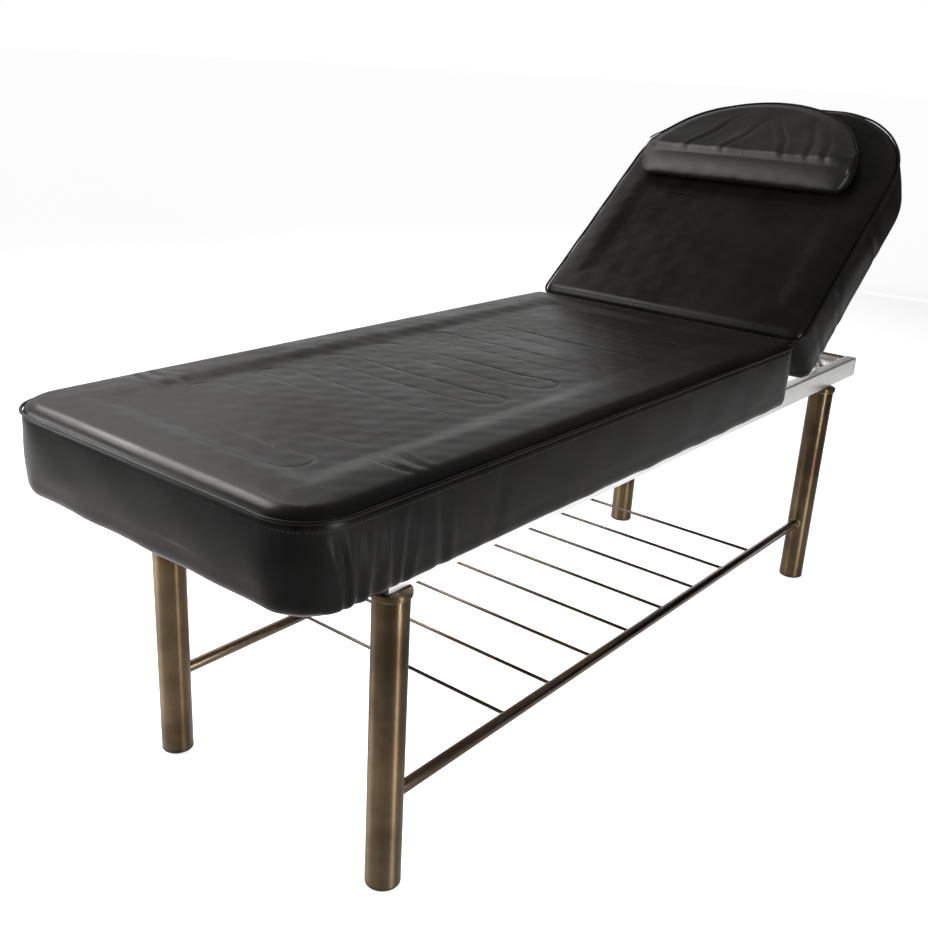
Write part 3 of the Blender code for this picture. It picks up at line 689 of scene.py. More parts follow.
def stepped_disc(name, centre, steps, rounding=0.0006):
    """A turned piece: a disc that is extruded and scaled through steps of (radius, height)."""
    radius, height = steps[0]
    bpy.ops.object.select_all(action="DESELECT")
    bpy.ops.mesh.primitive_circle_add(
        vertices=ROUND_SIDES, radius=radius, fill_type="NGON", location=(centre[0], centre[1], height)
    )
    piece = settle(bpy.context.object, name)
    bpy.ops.object.mode_set(mode="EDIT")
    bpy.ops.mesh.select_all(action="SELECT")
    for next_radius, next_height in steps[1:]:
        bpy.ops.mesh.extrude_region_move(TRANSFORM_OT_translate={"value": (0, 0, next_height - height)})
        share = next_radius / radius
        centre_here = (centre[0], centre[1], next_height)
        bpy.ops.transform.resize(value=(share, share, 1), center_override=centre_here)
        radius, height = next_radius, next_height
    bpy.ops.mesh.select_all(action="SELECT")
    bpy.ops.mesh.normals_make_consistent(inside=False)
    close_edit()
    round_rims(piece, rounding)
    return piece


for end, side in CORNERS:
    place_name = end + "_" + side
    leg_low, leg_high, _, leg_size = box_of("leg_" + place_name)
    bore = leg_size.x / 2 - LEG_WALL - RUNNING_GAP
    low, high, middle, size = box_of("foot_cap_" + place_name)
    rim = size.x / 2
    shoulder = leg_low.z - RUNNING_GAP
    foot = stepped_disc("foot_pad_" + place_name, middle, [
        (rim - FOOT_CHAMFER[0], low.z), (rim, low.z + FOOT_CHAMFER[1]), (rim, shoulder),
        (bore, shoulder + STEP_RISE), (bore - SPIGOT_TAPER, high.z),
    ])
    put_on(foot, black_plastic, "base", "black_plastic", "foot_cap_" + place_name)
    low, high, middle, size = box_of("leg_flange_" + place_name)
    rim = size.x / 2
    plate_low = leg_high.z + PLATE_GAP
    plate_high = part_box("side_rail_" + side)[0].z - PLATE_GAP
    collar = stepped_disc("leg_collar_" + place_name, middle, [
        (bore - SPIGOT_TAPER, low.z), (bore, plate_low), (rim, plate_low + STEP_RISE), (rim, plate_high),
        (STUD_RADIUS, plate_high + STEP_RISE), (STUD_RADIUS, high.z),
    ])
    put_on(collar, leg_steel, "base", "stainless_steel", "leg_flange_" + place_name)
print("collars and feet made")

# %% [markdown]
# ## Rails and cross tubes
#
# The frame under the cushions is rectangular tube, polished bright. Black caps close the long rails.

# %% Make the rails
CROSS_CORNER = 0.0025

for side in ("left", "right"):
    node = "side_rail_" + side
    tube = box_tube("long_rail_" + side, *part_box(node), 0)
    put_on(tube, rail_steel, "base", "bright_steel", node)
for node in ("end_rail_foot", "end_rail_head", "middle_cross_tube", "hinge_cross_tube"):
    tube = box_tube(node + "_tube", *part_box(node), 1, corner=CROSS_CORNER)
    put_on(tube, cross_steel, "base", "stainless_steel", node)
print("rails and cross tubes made")

# %% [markdown]
# ### End caps
#
# A moulded cap closes each end of the long rails: a plate that shows, and a plug inside the tube. A box
# with rounded edges is the plate, and its inner face is inset and extruded into the plug.

# %% Make the end caps
CAP_PLATE = 0.003
CAP_LEDGE = 0.002
CAP_ROUNDING = 0.0007

for end, side in CORNERS:
    outward = 1 if end == "head" else -1
    node = "rail_cap_" + end + "_" + side
    low, high, middle, size = box_of(node)
    outer = high.x if outward > 0 else low.x
    inner = outer - outward * CAP_PLATE
    near, far = sorted((outer, inner))
    bpy.ops.object.select_all(action="DESELECT")
    bpy.ops.mesh.primitive_cube_add(
        size=1, location=((near + far) / 2, middle.y, middle.z), scale=(far - near, size.y, size.z)
    )
    cap = settle(bpy.context.object, "rail_end_" + end + "_" + side)
    pick(cap, "EDGE", lambda a, b: abs(a.x - b.x) > 0.001)
    bpy.ops.mesh.bevel(offset=TUBE_CORNER, segments=CORNER_SEGMENTS, affect="EDGES")
    close_edit()
    pick(cap, "FACE", lambda face: face.normal.x * outward < -0.9)
    bpy.ops.mesh.inset(thickness=CAP_LEDGE)
    plug_length = (low.x if outward > 0 else high.x) - inner
    bpy.ops.mesh.extrude_region_move(TRANSFORM_OT_translate={"value": (plug_length, 0, 0)})
    close_edit()
    round_rims(cap, CAP_ROUNDING, 3, False)
    put_on(cap, black_plastic, "base", "black_plastic", node)
print("end caps made")

# %% [markdown]
# ## Shelf
#
# Two round rails run from leg to leg, and eight thin rods lie across them. Small beads of weld mark
# the joints.

# %% Make the shelf
ROD_COUNT = 8
SHELF_WALL = 0.0012
RAIL_BEADS = 14
RAIL_BEAD_RADIUS = 0.0022
ROD_BEAD_RADIUS = 0.0020
ROD_BEAD_OFFSET = 0.0028
ROD_BEAD_INSET = 0.0015
SHELF_TUBE_SIDES = 48
ROD_SIDES = 20
ROD_ROUNDING = 0.0003


def bead(centre, radius):
    """A drop of weld: a small ball with uneven swellings."""
    bpy.ops.object.select_all(action="DESELECT")
    bpy.ops.mesh.primitive_ico_sphere_add(subdivisions=2, radius=radius, location=centre)
    piece = settle(bpy.context.object, "bead")
    points = points_of(piece)
    middle = np.array(centre)
    bumps = np.array([1 + 0.35 * noise.noise(Vector(point) * 420) for point in points])
    put_points(piece, middle + (points - middle) * bumps[:, None])
    smooth(piece, 80)
    return piece


leg_low, leg_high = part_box("leg_foot_left")
leg_width = leg_high.x - leg_low.x
shelf_beads = []
for side in ("left", "right"):
    node = "shelf_rail_" + side
    low, high, middle, size = box_of(node)
    start, end = (low.x, middle.y, middle.z), (high.x, middle.y, middle.z)
    tube = round_tube("shelf_tube_" + side, start, end, size.z / 2, SHELF_WALL, SHELF_TUBE_SIDES)
    put_on(tube, shelf_steel_painted_brown_reflection, "base", "stainless_steel", node)
    for x, turn in ((low.x, 1), (high.x, -1)):
        leg_axis_x = x - turn * leg_width / 2
        for step in range(RAIL_BEADS):
            angle = math.tau * step / RAIL_BEADS
            y = math.cos(angle) * size.z / 2
            z = math.sin(angle) * size.z / 2
            reach = math.sqrt(leg_width ** 2 / 4 - y * y)
            spot = (leg_axis_x + turn * reach, middle.y + y, middle.z + z)
            shelf_beads.append(bead(spot, RAIL_BEAD_RADIUS))
for number in range(1, ROD_COUNT + 1):
    node = "shelf_rod_%d" % number
    low, high, middle, size = box_of(node)
    start, end = (middle.x, low.y, middle.z), (middle.x, high.y, middle.z)
    rod = round_bar("shelf_bar_%d" % number, start, end, size.z / 2, ROD_SIDES, ROD_ROUNDING)
    put_on(rod, rod_steel, "base", "stainless_steel", node)
    for y, turn in ((low.y, 1), (high.y, -1)):
        for offset in (-ROD_BEAD_OFFSET, ROD_BEAD_OFFSET):
            spot = (middle.x + offset, y + turn * ROD_BEAD_INSET, middle.z)
            shelf_beads.append(bead(spot, ROD_BEAD_RADIUS))
beads = join(shelf_beads, "shelf_weld_beads")
put_on(beads, weld_metal, "base", "stainless_steel")
print("shelf made with", len(shelf_beads), "weld beads")

# %% [markdown]
# ## Hinge and prop hardware
#
# Plates whose shape is right in the frame stay as they are and only get their zinc finish. What is
# round there is made again, because a few flat sides show on a small pin.

# %% Finish the hinge and prop hardware
PLATE_FINISHES = {
    "hinge_lug": zinc, "hinge_ear": zinc, "prop_bracket": zinc, "prop_arm": zinc, "prop_rack": cross_steel,
    "seat_board": plywood, "back_board": plywood, "pillow_fastening_strip": tape_finish,
}
for name, node in nodes.items():
    for start, finish in PLATE_FINISHES.items():
        if name.startswith(start):
            node.data.materials.clear()
            node.data.materials.append(finish)
print("zinc plates, racks, boards and tape have their finishes")

# %% [markdown]
# ### Pins and the prop bar
#
# The pins and the bar that drops into the racks are turned from solid bar. A cylinder with enough sides
# looks round, and a bevel on its two rims shows where it was faced off.

# %% Make the pins and the prop bar
PIN_SIDES = 40
PIN_ROUNDING = 0.0012
BAR_ROUNDING = 0.0010


def bar_along_y(name, node, rounding):
    low, high, middle, size = box_of(node)
    return round_bar(
        name, (middle.x, low.y, middle.z), (middle.x, high.y, middle.z), size.x / 2, PIN_SIDES, rounding
    )


for node in sorted(nodes):
    if node.startswith(("hinge_pin", "prop_pin")):
        body = "base" if node.startswith("hinge") else "backrest"
        pin = bar_along_y(node.replace("pin", "bolt"), node, PIN_ROUNDING)
        put_on(pin, zinc, body, "zinc_plated_steel", node)
bar = bar_along_y("prop_cross_bar", "prop_bar", BAR_ROUNDING)
put_on(bar, zinc, "prop", "zinc_plated_steel", "prop_bar")
print("pins and prop bar made")

# %% [markdown]
# ## The backrest's place
#
# The backrest is made lying flat, where its shape is simple, and is turned up about its hinge when it
# is finished. The hinge pin gives the place to turn about.

# %% Measure the hinge
REST_ANGLE = math.radians(38.5)
hinge_pin_middle = box_of("hinge_pin_left")[2]
HINGE = Vector((hinge_pin_middle.x, 0, hinge_pin_middle.z))
TURN_UP = Matrix.Translation(HINGE) @ Matrix.Rotation(-REST_ANGLE, 4, "Y") @ Matrix.Translation(-HINGE)


def turn_up(piece):
    piece.data.transform(TURN_UP)
    piece.data.update()
    return piece


print("hinge at", tuple(round(value, 4) for value in HINGE))

# %% [markdown]
# ### Square tubes under the backrest
#
# Two square tubes and a cross piece stiffen the backrest's board. Their boxes are measured on the frame
# after it is laid flat in thought, the tubes are made there, and then they are turned up with the rest.

# %% Make the square tubes under the backrest
SUBFRAME_WALL = 0.0013
SUBFRAME_CORNER = 0.0022


def lying(name):
    """The flat box of a part of the backrest, from its turned mesh."""
    back = TURN_UP.inverted()
    spots = [back @ vertex.co for vertex in nodes[name].data.vertices]
    return (
        Vector([min(spot[axis] for spot in spots) for axis in range(3)]),
        Vector([max(spot[axis] for spot in spots) for axis in range(3)]),
    )


for node, axis in (("back_subframe_left", 0), ("back_subframe_right", 0), ("back_subframe_cross", 1)):
    name = node.replace("subframe", "frame")
    tube = turn_up(box_tube(name, *lying(node), axis, SUBFRAME_WALL, SUBFRAME_CORNER))
    put_on(tube, zinc, "backrest", "zinc_plated_steel", node)
print("square tubes made under the backrest")

# %% [markdown]
# ## Upholstery: the blank
#
# The seat is a foam block on a plywood board under a cover of a top panel, a side band and piping in
# the seam between them. A grid is rounded at its corners into the top panel. Its rim is extruded down
# as the side band and turned in under the board, where the cover is stapled.

# %% Helpers for a rounded plan
def plan_shape(low_x, high_x, half_width, low_radius, high_radius):
    """An outline: its box, and corners as (centre x, centre y, radius x, radius y, sign x, sign y)."""
    corners = []
    for sign_x, edge, radius in ((-1, low_x, low_radius), (1, high_x, high_radius)):
        for sign_y in (-1, 1):
            centre = (edge - sign_x * radius, sign_y * (half_width - radius))
            corners.append((*centre, radius, radius, sign_x, sign_y))
    return {"box": (low_x, high_x, -half_width, half_width), "corners": corners}


def corner_frame(points, corner):
    centre_x, centre_y, radius_x, radius_y, sign_x, sign_y = corner
    across = (points[:, 0] - centre_x) * sign_x / radius_x
    along = (points[:, 1] - centre_y) * sign_y / radius_y
    return across, along, (across > 0) & (along > 0)


def round_corners(points, shape):
    """Moves the points of a rectangle's corners into its rounded corners."""
    moved = points.copy()
    for corner in shape["corners"]:
        across, along, inside = corner_frame(points, corner)
        far = np.hypot(across, along)
        share = np.where(inside, np.maximum(across, along) / np.maximum(far, 1e-9), 1)
        moved[:, 0] = np.where(inside, corner[0] + corner[4] * corner[2] * across * share, moved[:, 0])
        moved[:, 1] = np.where(inside, corner[1] + corner[5] * corner[3] * along * share, moved[:, 1])
    return moved


print("outline helpers ready")

# %% [markdown]
# ### How far inside, and which way is out
#
# The roll, the dip and the creases of a cushion depend on how far a point lies from its seam. Its outline
# is made of straight sides and round corners only, so a formula gives that distance and the direction
# out, for all points at once. Piping and stitches follow the same outline at even steps.

# %% Helpers for the distance from the seam
def from_edge(points, shape):
    """How far each point lies inside the outline, and which way is out."""
    low_x, high_x, low_y, high_y = shape["box"]
    x, y = points[:, 0], points[:, 1]
    gaps = np.stack([x - low_x, high_x - x, y - low_y, high_y - y])
    nearest = gaps.argmin(axis=0)
    distance = gaps.min(axis=0)
    outward = np.array([(-1.0, 0.0), (1.0, 0.0), (0.0, -1.0), (0.0, 1.0)])[nearest]
    for corner in shape["corners"]:
        across, along, inside = corner_frame(points, corner)
        far = np.maximum(np.hypot(across, along), 1e-9)
        steep = [corner[4] * across / far / corner[2], corner[5] * along / far / corner[3]]
        steep = np.stack(steep, axis=1)
        slope = np.linalg.norm(steep, axis=1)
        distance = np.where(inside, (1 - far) / slope, distance)
        outward = np.where(inside[:, None], steep / slope[:, None], outward)
    return distance, outward


def draw_in(points, shape, inset):
    """Moves outline points inwards, without crossing at a small corner."""
    least = 0.001
    outward = from_edge(points, shape)[1]
    moved = points - outward * inset
    for corner in shape["corners"]:
        past = inset - min(corner[2], corner[3])
        if past > -least:
            inside = corner_frame(points, corner)[2]
            spot = np.array([corner[axis] - corner[axis + 4] * (past + least) for axis in (0, 1)])
            moved = np.where(inside[:, None], spot + outward * least, moved)
    return moved


def smoothstep(value, low, high):
    share = np.clip((value - low) / (high - low), 0, 1)
    return share * share * (3 - 2 * share)


def outline_path(shape, spacing, steps=600):
    """Evenly spaced points on the outline and their outward directions."""
    low_x, high_x, low_y, high_y = shape["box"]
    turning = [(low_x, low_y), (high_x, low_y), (high_x, high_y), (low_x, high_y)]
    share = np.arange(steps)[:, None] / steps
    sides = zip(turning, turning[1:] + turning[:1])
    raw = [np.array(start) * (1 - share) + np.array(end) * share for start, end in sides]
    ring = round_corners(np.concatenate(raw), shape)
    ring = np.concatenate([ring, ring[:1]])
    lengths = np.concatenate([[0], np.cumsum(np.linalg.norm(np.diff(ring, axis=0), axis=1))])
    count = int(round(lengths[-1] / spacing))
    wanted = np.arange(count) * lengths[-1] / count
    path = np.stack([np.interp(wanted, lengths, ring[:, axis]) for axis in (0, 1)], axis=1)
    return path, from_edge(path, shape)[1]


print("distance helpers ready")

# %% [markdown]
# ### The blank
#
# The rim of the top panel is extruded once for each ring of the side band and the underside, and every
# ring is then moved to its height and drawn in. The hole that is left underneath is filled with
# triangles, because one huge face there would make Subdivision Surface very slow.

# %% Helper for the blank of a cushion
CELL = 0.0080
RING_STEP = 0.01


def cushion_blank(name, shape, seam_height, rings, cell=CELL):
    """A top panel with its rim extruded through rings of (height, inset), closed underneath."""
    low_x, high_x, low_y, high_y = shape["box"]
    bpy.ops.object.select_all(action="DESELECT")
    bpy.ops.mesh.primitive_grid_add(
        x_subdivisions=round((high_x - low_x) / cell), y_subdivisions=round((high_y - low_y) / cell), size=1,
        location=((low_x + high_x) / 2, 0, seam_height),
    )
    piece = bpy.context.object
    piece.scale = (high_x - low_x, high_y - low_y, 1)
    settle(piece, name)
    points = points_of(piece)
    points[:, :2] = round_corners(points[:, :2], shape)
    put_points(piece, points)

    bpy.ops.object.mode_set(mode="EDIT")
    bpy.context.tool_settings.mesh_select_mode = (False, True, False)
    bpy.ops.mesh.select_all(action="DESELECT")
    bpy.ops.mesh.select_non_manifold(extend=False)
    for _ in rings:
        bpy.ops.mesh.extrude_region_move(TRANSFORM_OT_translate={"value": (0, 0, -RING_STEP)})
    bpy.ops.mesh.select_all(action="SELECT")
    bpy.ops.mesh.normals_make_consistent(inside=False)
    close_edit()

    points = points_of(piece)
    level = np.rint((seam_height - points[:, 2]) / RING_STEP).astype(int)
    for number, (height, inset) in enumerate(rings, start=1):
        ring = level == number
        points[ring, :2] = draw_in(points[ring, :2], shape, inset)
        points[ring, 2] = height
    put_points(piece, points)
    select_only(piece)
    bpy.ops.object.mode_set(mode="EDIT")
    bpy.ops.mesh.select_all(action="DESELECT")
    bpy.ops.mesh.select_non_manifold(extend=False)
    bpy.ops.mesh.fill(use_beauty=True)
    bpy.ops.mesh.select_all(action="SELECT")
    bpy.ops.mesh.normals_make_consistent(inside=False)
    close_edit()
    return piece, level


def keep(piece, label, values):
    layer = piece.data.attributes.new(label, "FLOAT_VECTOR", "POINT")
    layer.data.foreach_set("vector", np.ascontiguousarray(values, float).ravel())


def kept(piece, label):
    values = np.zeros(len(piece.data.vertices) * 3)
    piece.data.attributes[label].data.foreach_get("vector", values)
    return values.reshape(-1, 3)


def forget(piece, *labels):
    for label in labels:
        piece.data.attributes.remove(piece.data.attributes[label])


print("blank helper ready")

# %% [markdown]
# ### Letting the cover swell
#
# Foam presses the cover outwards, and the seam and the board hold it. Blender's cloth does just that: a
# pressure from inside, with weights on the points that are held. Twenty frames are enough, and the move
# of each point is capped, so that the cushion keeps its size.

# %% Helper for the cloth
SIM_FRAMES = 20
CLOTH_STIFFNESS = 15
CLOTH_BENDING = 1.2


def puff(piece, held, pressure, cap, slack):
    """Lets a cover swell as cloth under pressure, and holds back points that move too far."""
    before = points_of(piece)
    group = piece.vertex_groups.new(name="held")
    for weight in np.unique(held):
        if weight > 0:
            group.add([int(i) for i in np.nonzero(held == weight)[0]], float(weight), "REPLACE")
    cloth = piece.modifiers.new("cloth", "CLOTH")
    settings = cloth.settings
    settings.vertex_group_mass = "held"
    settings.use_pressure = True
    settings.uniform_pressure_force = pressure
    settings.effector_weights.gravity = 0
    settings.shrink_min = -slack
    settings.tension_stiffness = settings.compression_stiffness = CLOTH_STIFFNESS
    settings.bending_stiffness = CLOTH_BENDING
    settings.quality = 4
    cloth.collision_settings.use_collision = False
    cloth.point_cache.frame_start = 1
    cloth.point_cache.frame_end = SIM_FRAMES
    for number in range(1, SIM_FRAMES + 1):
        bpy.context.scene.frame_set(number)
    apply_modifiers(piece)
    bpy.context.scene.frame_set(1)
    moved = points_of(piece) - before
    far = np.linalg.norm(moved, axis=1, keepdims=True)
    put_points(piece, before + moved * np.where(far > 0, np.tanh(far / cap) * cap / np.maximum(far, 1e-9), 0))
    print(piece.name, "swelled by at most %.1f mm" % (1000 * min(cap, float(far.max()))))


def subdivide(piece):
    finer = piece.modifiers.new("finer", "SUBSURF")
    finer.levels = finer.render_levels = 1
    apply_modifiers(piece)


print("cloth helper ready")

# %% [markdown]
# ## Upholstery: the shape that use gives it
#
# The foam stands highest just inside the piping and has sunk in the middle. The top panel keeps the
# marks of long loops that were pressed into it, and short creases cross its raised border. The side
# band hangs in soft folds near the corners.

# %% Helpers for creases and folds
def ripple(x, y, wavelength, seed):
    """A smooth uneven swell between about -1 and 1."""
    total = np.zeros_like(x)
    for number in range(5):
        angle = seed * 1.7 + number * 2.399
        wave = math.tau / wavelength * (0.6 + 0.23 * number)
        total += np.sin((x * math.cos(angle) + y * math.sin(angle)) * wave + seed * 3.1 + number * 1.9)
    return total / 3.2


def crease(offset, width):
    return np.exp(-((offset / width) ** 2))


def loops_line(plan, first, pitch, half_width, half_straight):
    along = plan[:, 0] - first
    from_middle = along - np.rint(along / pitch) * pitch
    past_end = np.maximum(np.abs(plan[:, 1]) - half_straight, 0)
    return np.hypot(from_middle, past_end) - half_width


print("crease helpers ready")

# %% [markdown]
# ### One helper for seat and backrest
#
# Both cushions are built alike, so one set of helpers makes both: the blank with its rings, the swelling
# of the cover, and then the marks of use. Those move each point by sums of smooth functions of its place
# on the flat cover, because a crease follows the cover and not the room.

# %% Helpers for a swollen cover
SEAM_DROP = 0.111
BOARD_LOW, BOARD_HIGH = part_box("seat_board")
BOARD_GAP = 0.0003
BOARD_INSET = 0.0128
WRAP_INSET = 0.044
WRAP_GAP = 0.0002
WRAP_LIFT = 0.00015
WRAP_FOLD = 0.0004
SIDE_ROWS = 14
HEM_START = 0.010
HEM_INSETS = ((0.0040, 0.0010), (-0.0010, 0.0035), (-0.0044, 0.0080))
UNDER_INSETS = (0.0140, 0.0280, WRAP_INSET)
SEAM_WIDTH = 0.0005
NEARLY_HELD = 0.6
FOAM_PRESSURE = 2.5
FOAM_SWELL = 0.0040
FOAM_SLACK = 0.0002


def band_rings(low_z, seam_z):
    """Heights and insets of the side band, the hem under the board and the edge of the board."""
    wrap = BOARD_LOW.z - WRAP_GAP
    last = low_z + HEM_START
    rings = [(seam_z + (last - seam_z) * (row + 1) / SIDE_ROWS, 0.0) for row in range(SIDE_ROWS)]
    rings += [(low_z + rise, inset) for rise, inset in HEM_INSETS]
    rings += [(wrap, inset) for inset in UNDER_INSETS]
    rings += [(wrap + WRAP_LIFT, WRAP_INSET + WRAP_FOLD), (wrap + WRAP_LIFT, BOARD_INSET)]
    return rings + [(BOARD_HIGH.z + BOARD_GAP, inset) for inset in (BOARD_INSET, WRAP_INSET)]


def swollen_cover(name, shape, low_z, seam_z):
    """The blank of a cushion after its cover has swelled, with its flat plan and its rings kept."""
    piece, level = cushion_blank(name, shape, seam_z, band_rings(low_z, seam_z))
    rest = points_of(piece)
    inside, outward = from_edge(rest[:, :2], shape)
    held = np.where((level == 0) & (inside < SEAM_WIDTH), 1.0, 0.0)
    held[level >= SIDE_ROWS] = 1.0
    held[level == SIDE_ROWS - 1] = NEARLY_HELD
    side = level > 0
    unfolded = rest.copy()
    unfolded[side, :2] += outward[side] * (seam_z - rest[side, 2])[:, None]
    keep(piece, "rest", rest)
    keep(piece, "plan", unfolded)
    keep(piece, "level", np.stack([level, side, side], axis=1))
    puff(piece, held, FOAM_PRESSURE, FOAM_SWELL, FOAM_SLACK)
    subdivide(piece)
    return piece


print("helpers for a swollen cover ready")

# %% [markdown]
# ### Where the loops show
#
# The pressed loops fade where the cover was sat on and end before the sides. The cover's plan is shifted
# a little here and there, so that the loops wander as they do on a stretched cover, and the strength of
# the line at each point is stored as the plan's third number, for the material to read.

# %% Helper for the strength of the loops
LOOP_WANDER = (0.0030, 0.0060)
LOOP_SKEW = 0.20
LOOP_SKEW_START = 0.09
LOOP_SHIFT_Y = 0.010
LOOP_FADE = 0.02
FAINT_SIDE = 0.55
FOLD_SHARES = (0.55, 0.35)


def wander_and_fade(plan, loops, loop_reach, seed):
    """Shifts the plan a little and gives how strongly a loop shows at each point of it."""
    x, y = plan[:, 0].copy(), plan[:, 1].copy()
    first, pitch = loops["First"], loops["Pitch"]
    skew = LOOP_SKEW * np.maximum(-y - LOOP_SKEW_START, 0)
    plan[:, 0] += ripple(x, y, 0.30, seed) * LOOP_WANDER[0] - skew
    plan[:, 1] += ripple(x, y, 0.26, seed + 1) * LOOP_WANDER[1] - LOOP_SHIFT_Y
    fade = smoothstep(ripple(x, y, 0.42, seed + 5), -0.75, 0.35)
    start, stop = loop_reach
    reach = smoothstep(plan[:, 0], start - LOOP_FADE, start)
    reach = reach * (1 - smoothstep(plan[:, 0], stop, stop + LOOP_FADE))
    side_of_loop = np.mod(plan[:, 0] - first + pitch / 2, pitch) - pitch / 2
    one_side_fainter = FAINT_SIDE + (1 - FAINT_SIDE) * smoothstep(side_of_loop, -0.01, 0.01)
    ends = 1 - smoothstep(np.abs(plan[:, 1]), *loops["ends"])
    return fade * reach * one_side_fainter * ends


print("loop helper ready")

# %% [markdown]
# ### The top and the side band
#
# The top rises over the roll just inside the piping, dips where people lie and gets its creases. The
# side band bulges a little, and folds run down it near the corners, each a groove between two swellings.

# %% Helpers for the top and the side band
ROLL_SLOPE = 0.86
ROLL_HOLD = 0.006
ROLL_REACH = 0.022
LOOP_SOFT_DEPTH = 0.0006
LOOP_SOFT_WIDTH = 0.0055
CREASE_WIDTH = 0.0042
CREASE_RIM = (0.010, 0.008, 0.6)
BELLY = 0.0016
HEM_LIFT = 0.0012


def roll_height(inside):
    """The roll just inside the piping: a steady slope that then eases off to level."""
    held = np.clip(inside, 0, ROLL_HOLD)
    eased = np.clip((inside - ROLL_HOLD) / (ROLL_REACH - ROLL_HOLD), 0, 1)
    return ROLL_SLOPE * (held + (ROLL_REACH - ROLL_HOLD) * (eased - eased * eased / 2))


def top_rise(x, y, inside, outward, plan, loops, strength, dip, border, creases, seed):
    rise = roll_height(inside) - dip * smoothstep(inside, border[0], border[1])
    rise += 0.0013 * ripple(x, y, 0.34, seed + 2) * smoothstep(inside, 0.01, 0.08)
    rise += 0.00035 * ripple(x, y, 0.05, seed + 3) * smoothstep(inside, 0.01, 0.04)
    line = loops_line(plan, loops["First"], loops["Pitch"], LOOP_HALF_WIDTH, LOOP_HALF_STRAIGHT)
    rise -= LOOP_SOFT_DEPTH * crease(line, LOOP_SOFT_WIDTH) * strength
    long_sides = np.abs(outward[:, 1]) > 0.7
    shift, rim_width, rim_share = CREASE_RIM
    for crease_x, depth in creases:
        off = x - crease_x - 0.004 * np.sin(inside * 60 + crease_x * 40)
        across = smoothstep(inside, 0.012, 0.030) * (1 - smoothstep(inside, 0.075, 0.100)) * long_sides
        rise -= depth * crease(off, CREASE_WIDTH) * across
        rise += rim_share * depth * crease(off - shift, rim_width) * across
    return rise


def band_bulge(x, y, z, plan_x, down, outward, folds, seed):
    arch = np.sin(down * math.pi)
    bulge = BELLY * arch + 0.0007 * ripple(plan_x + y, z * 2, 0.16, seed + 4) * arch
    for fold_x, side_sign, lean, depth, width in folds:
        near = smoothstep(outward[:, 1] * side_sign, 0.3, 0.8)
        off = x - (fold_x + lean * (down - 0.5))
        fold = crease(off, width)
        fold = fold - FOLD_SHARES[0] * crease(off - 1.7 * width, width)
        fold = fold - FOLD_SHARES[1] * crease(off + 1.7 * width, width)
        bulge -= depth * fold * near * smoothstep(down, 0.05, 0.45)
    return bulge


print("helpers for top and band ready")

# %% [markdown]
# ### Putting the cushion together
#
# With the helpers ready, a cushion is its swollen cover plus these moves, each on the rings it belongs
# to. The first number of the plan is counted from the cushion's foot end.

# %% Helper for a foam cushion
def foam_cushion(name, shape, low_z, seam_z, loops, loop_reach, dip, border, side_folds, top_creases, seed):
    """A foam cushion on its board, in the space between low_z and the seam, with its marks of use."""
    piece = swollen_cover(name, shape, low_z, seam_z)
    rest, plan, level = kept(piece, "rest"), kept(piece, "plan"), kept(piece, "level")[:, 0]
    points = points_of(piece)
    inside, outward = from_edge(rest[:, :2], shape)
    plan[:, 0] -= shape["box"][0]
    x, y, z = plan[:, 0].copy(), plan[:, 1].copy(), rest[:, 2]
    top = level < 0.5
    strength = wander_and_fade(plan, loops, loop_reach, seed) * top
    plan[:, 2] = strength * 0.001
    rise = top_rise(x, y, inside, outward, plan, loops, strength, dip, border, top_creases, seed)
    points[:, 2] += np.where(top, rise, 0)

    down = np.clip((seam_z - z) / SEAM_DROP, 0, 1)
    wall = (level > 0.5) & (level < SIDE_ROWS + 4)
    bulge = band_bulge(x, y, z, plan[:, 0], down, outward, side_folds, seed)
    points[:, :2] += outward * np.where(wall, bulge, 0)[:, None]
    hem = (level > SIDE_ROWS - 3) & (level < SIDE_ROWS + 3.5)
    lift = HEM_LIFT * (1 + ripple(plan[:, 0], y, 0.11, seed + 6)) * (inside < 0.010)
    points[:, 2] += np.where(hem, lift, 0)
    put_points(piece, points)
    forget(piece, "plan", "rest", "level")
    keep(piece, "plan", plan)
    smooth(piece, 70)
    return piece


print("foam cushion helper ready")

# %% [markdown]
# ### The seat
#
# The seat is the long fixed cushion. Its cover hangs in deep folds on both sides of the foot end, where
# it is gathered round the corner, and in slack ones further on. Each fold is one row of the list: its
# place along the seat, its side, how far it leans, its depth and its width, in metres. The end at the
# hinge stays a few millimetres back, so that the backrest has room to turn.

# %% Make the seat
FOOT_CORNER = 0.070
HINGE_CORNER = 0.025
HINGE_ROOM = 0.0040
cover_low, cover_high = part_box("seat_cover")
SEAT_SEAM_Z = cover_low.z + SEAM_DROP
SEAT_SHAPE = plan_shape(cover_low.x, cover_high.x - HINGE_ROOM, cover_high.y, FOOT_CORNER, HINGE_CORNER)
SEAT_FOLDS = [
    (0.050, -1, 0.012, 0.0030, 0.009), (0.080, -1, 0.006, 0.0024, 0.007), (0.112, -1, -0.006, 0.0026, 0.008),
    (0.137, -1, 0.010, 0.0020, 0.006), (0.163, -1, -0.010, 0.0022, 0.007), (0.222, -1, 0.012, 0.0018, 0.009),
    (0.330, -1, -0.016, 0.0006, 0.014), (0.070, 1, 0.010, 0.0026, 0.009), (0.115, 1, -0.008, 0.0022, 0.008),
    (0.190, 1, 0.012, 0.0018, 0.009), (0.420, 1, -0.014, 0.0010, 0.013), (1.090, 1, 0.012, 0.0014, 0.011),
]
SEAT_CREASES = [(0.190, 0.0016), (0.220, 0.0013)]
seat = foam_cushion(
    "seat_cushion", SEAT_SHAPE, cover_low.z, SEAT_SEAM_Z, SEAT_LOOPS, loop_reach=(0.070, 1.120), dip=0.0058,
    border=(0.068, 0.112), side_folds=SEAT_FOLDS, top_creases=SEAT_CREASES, seed=1,
)
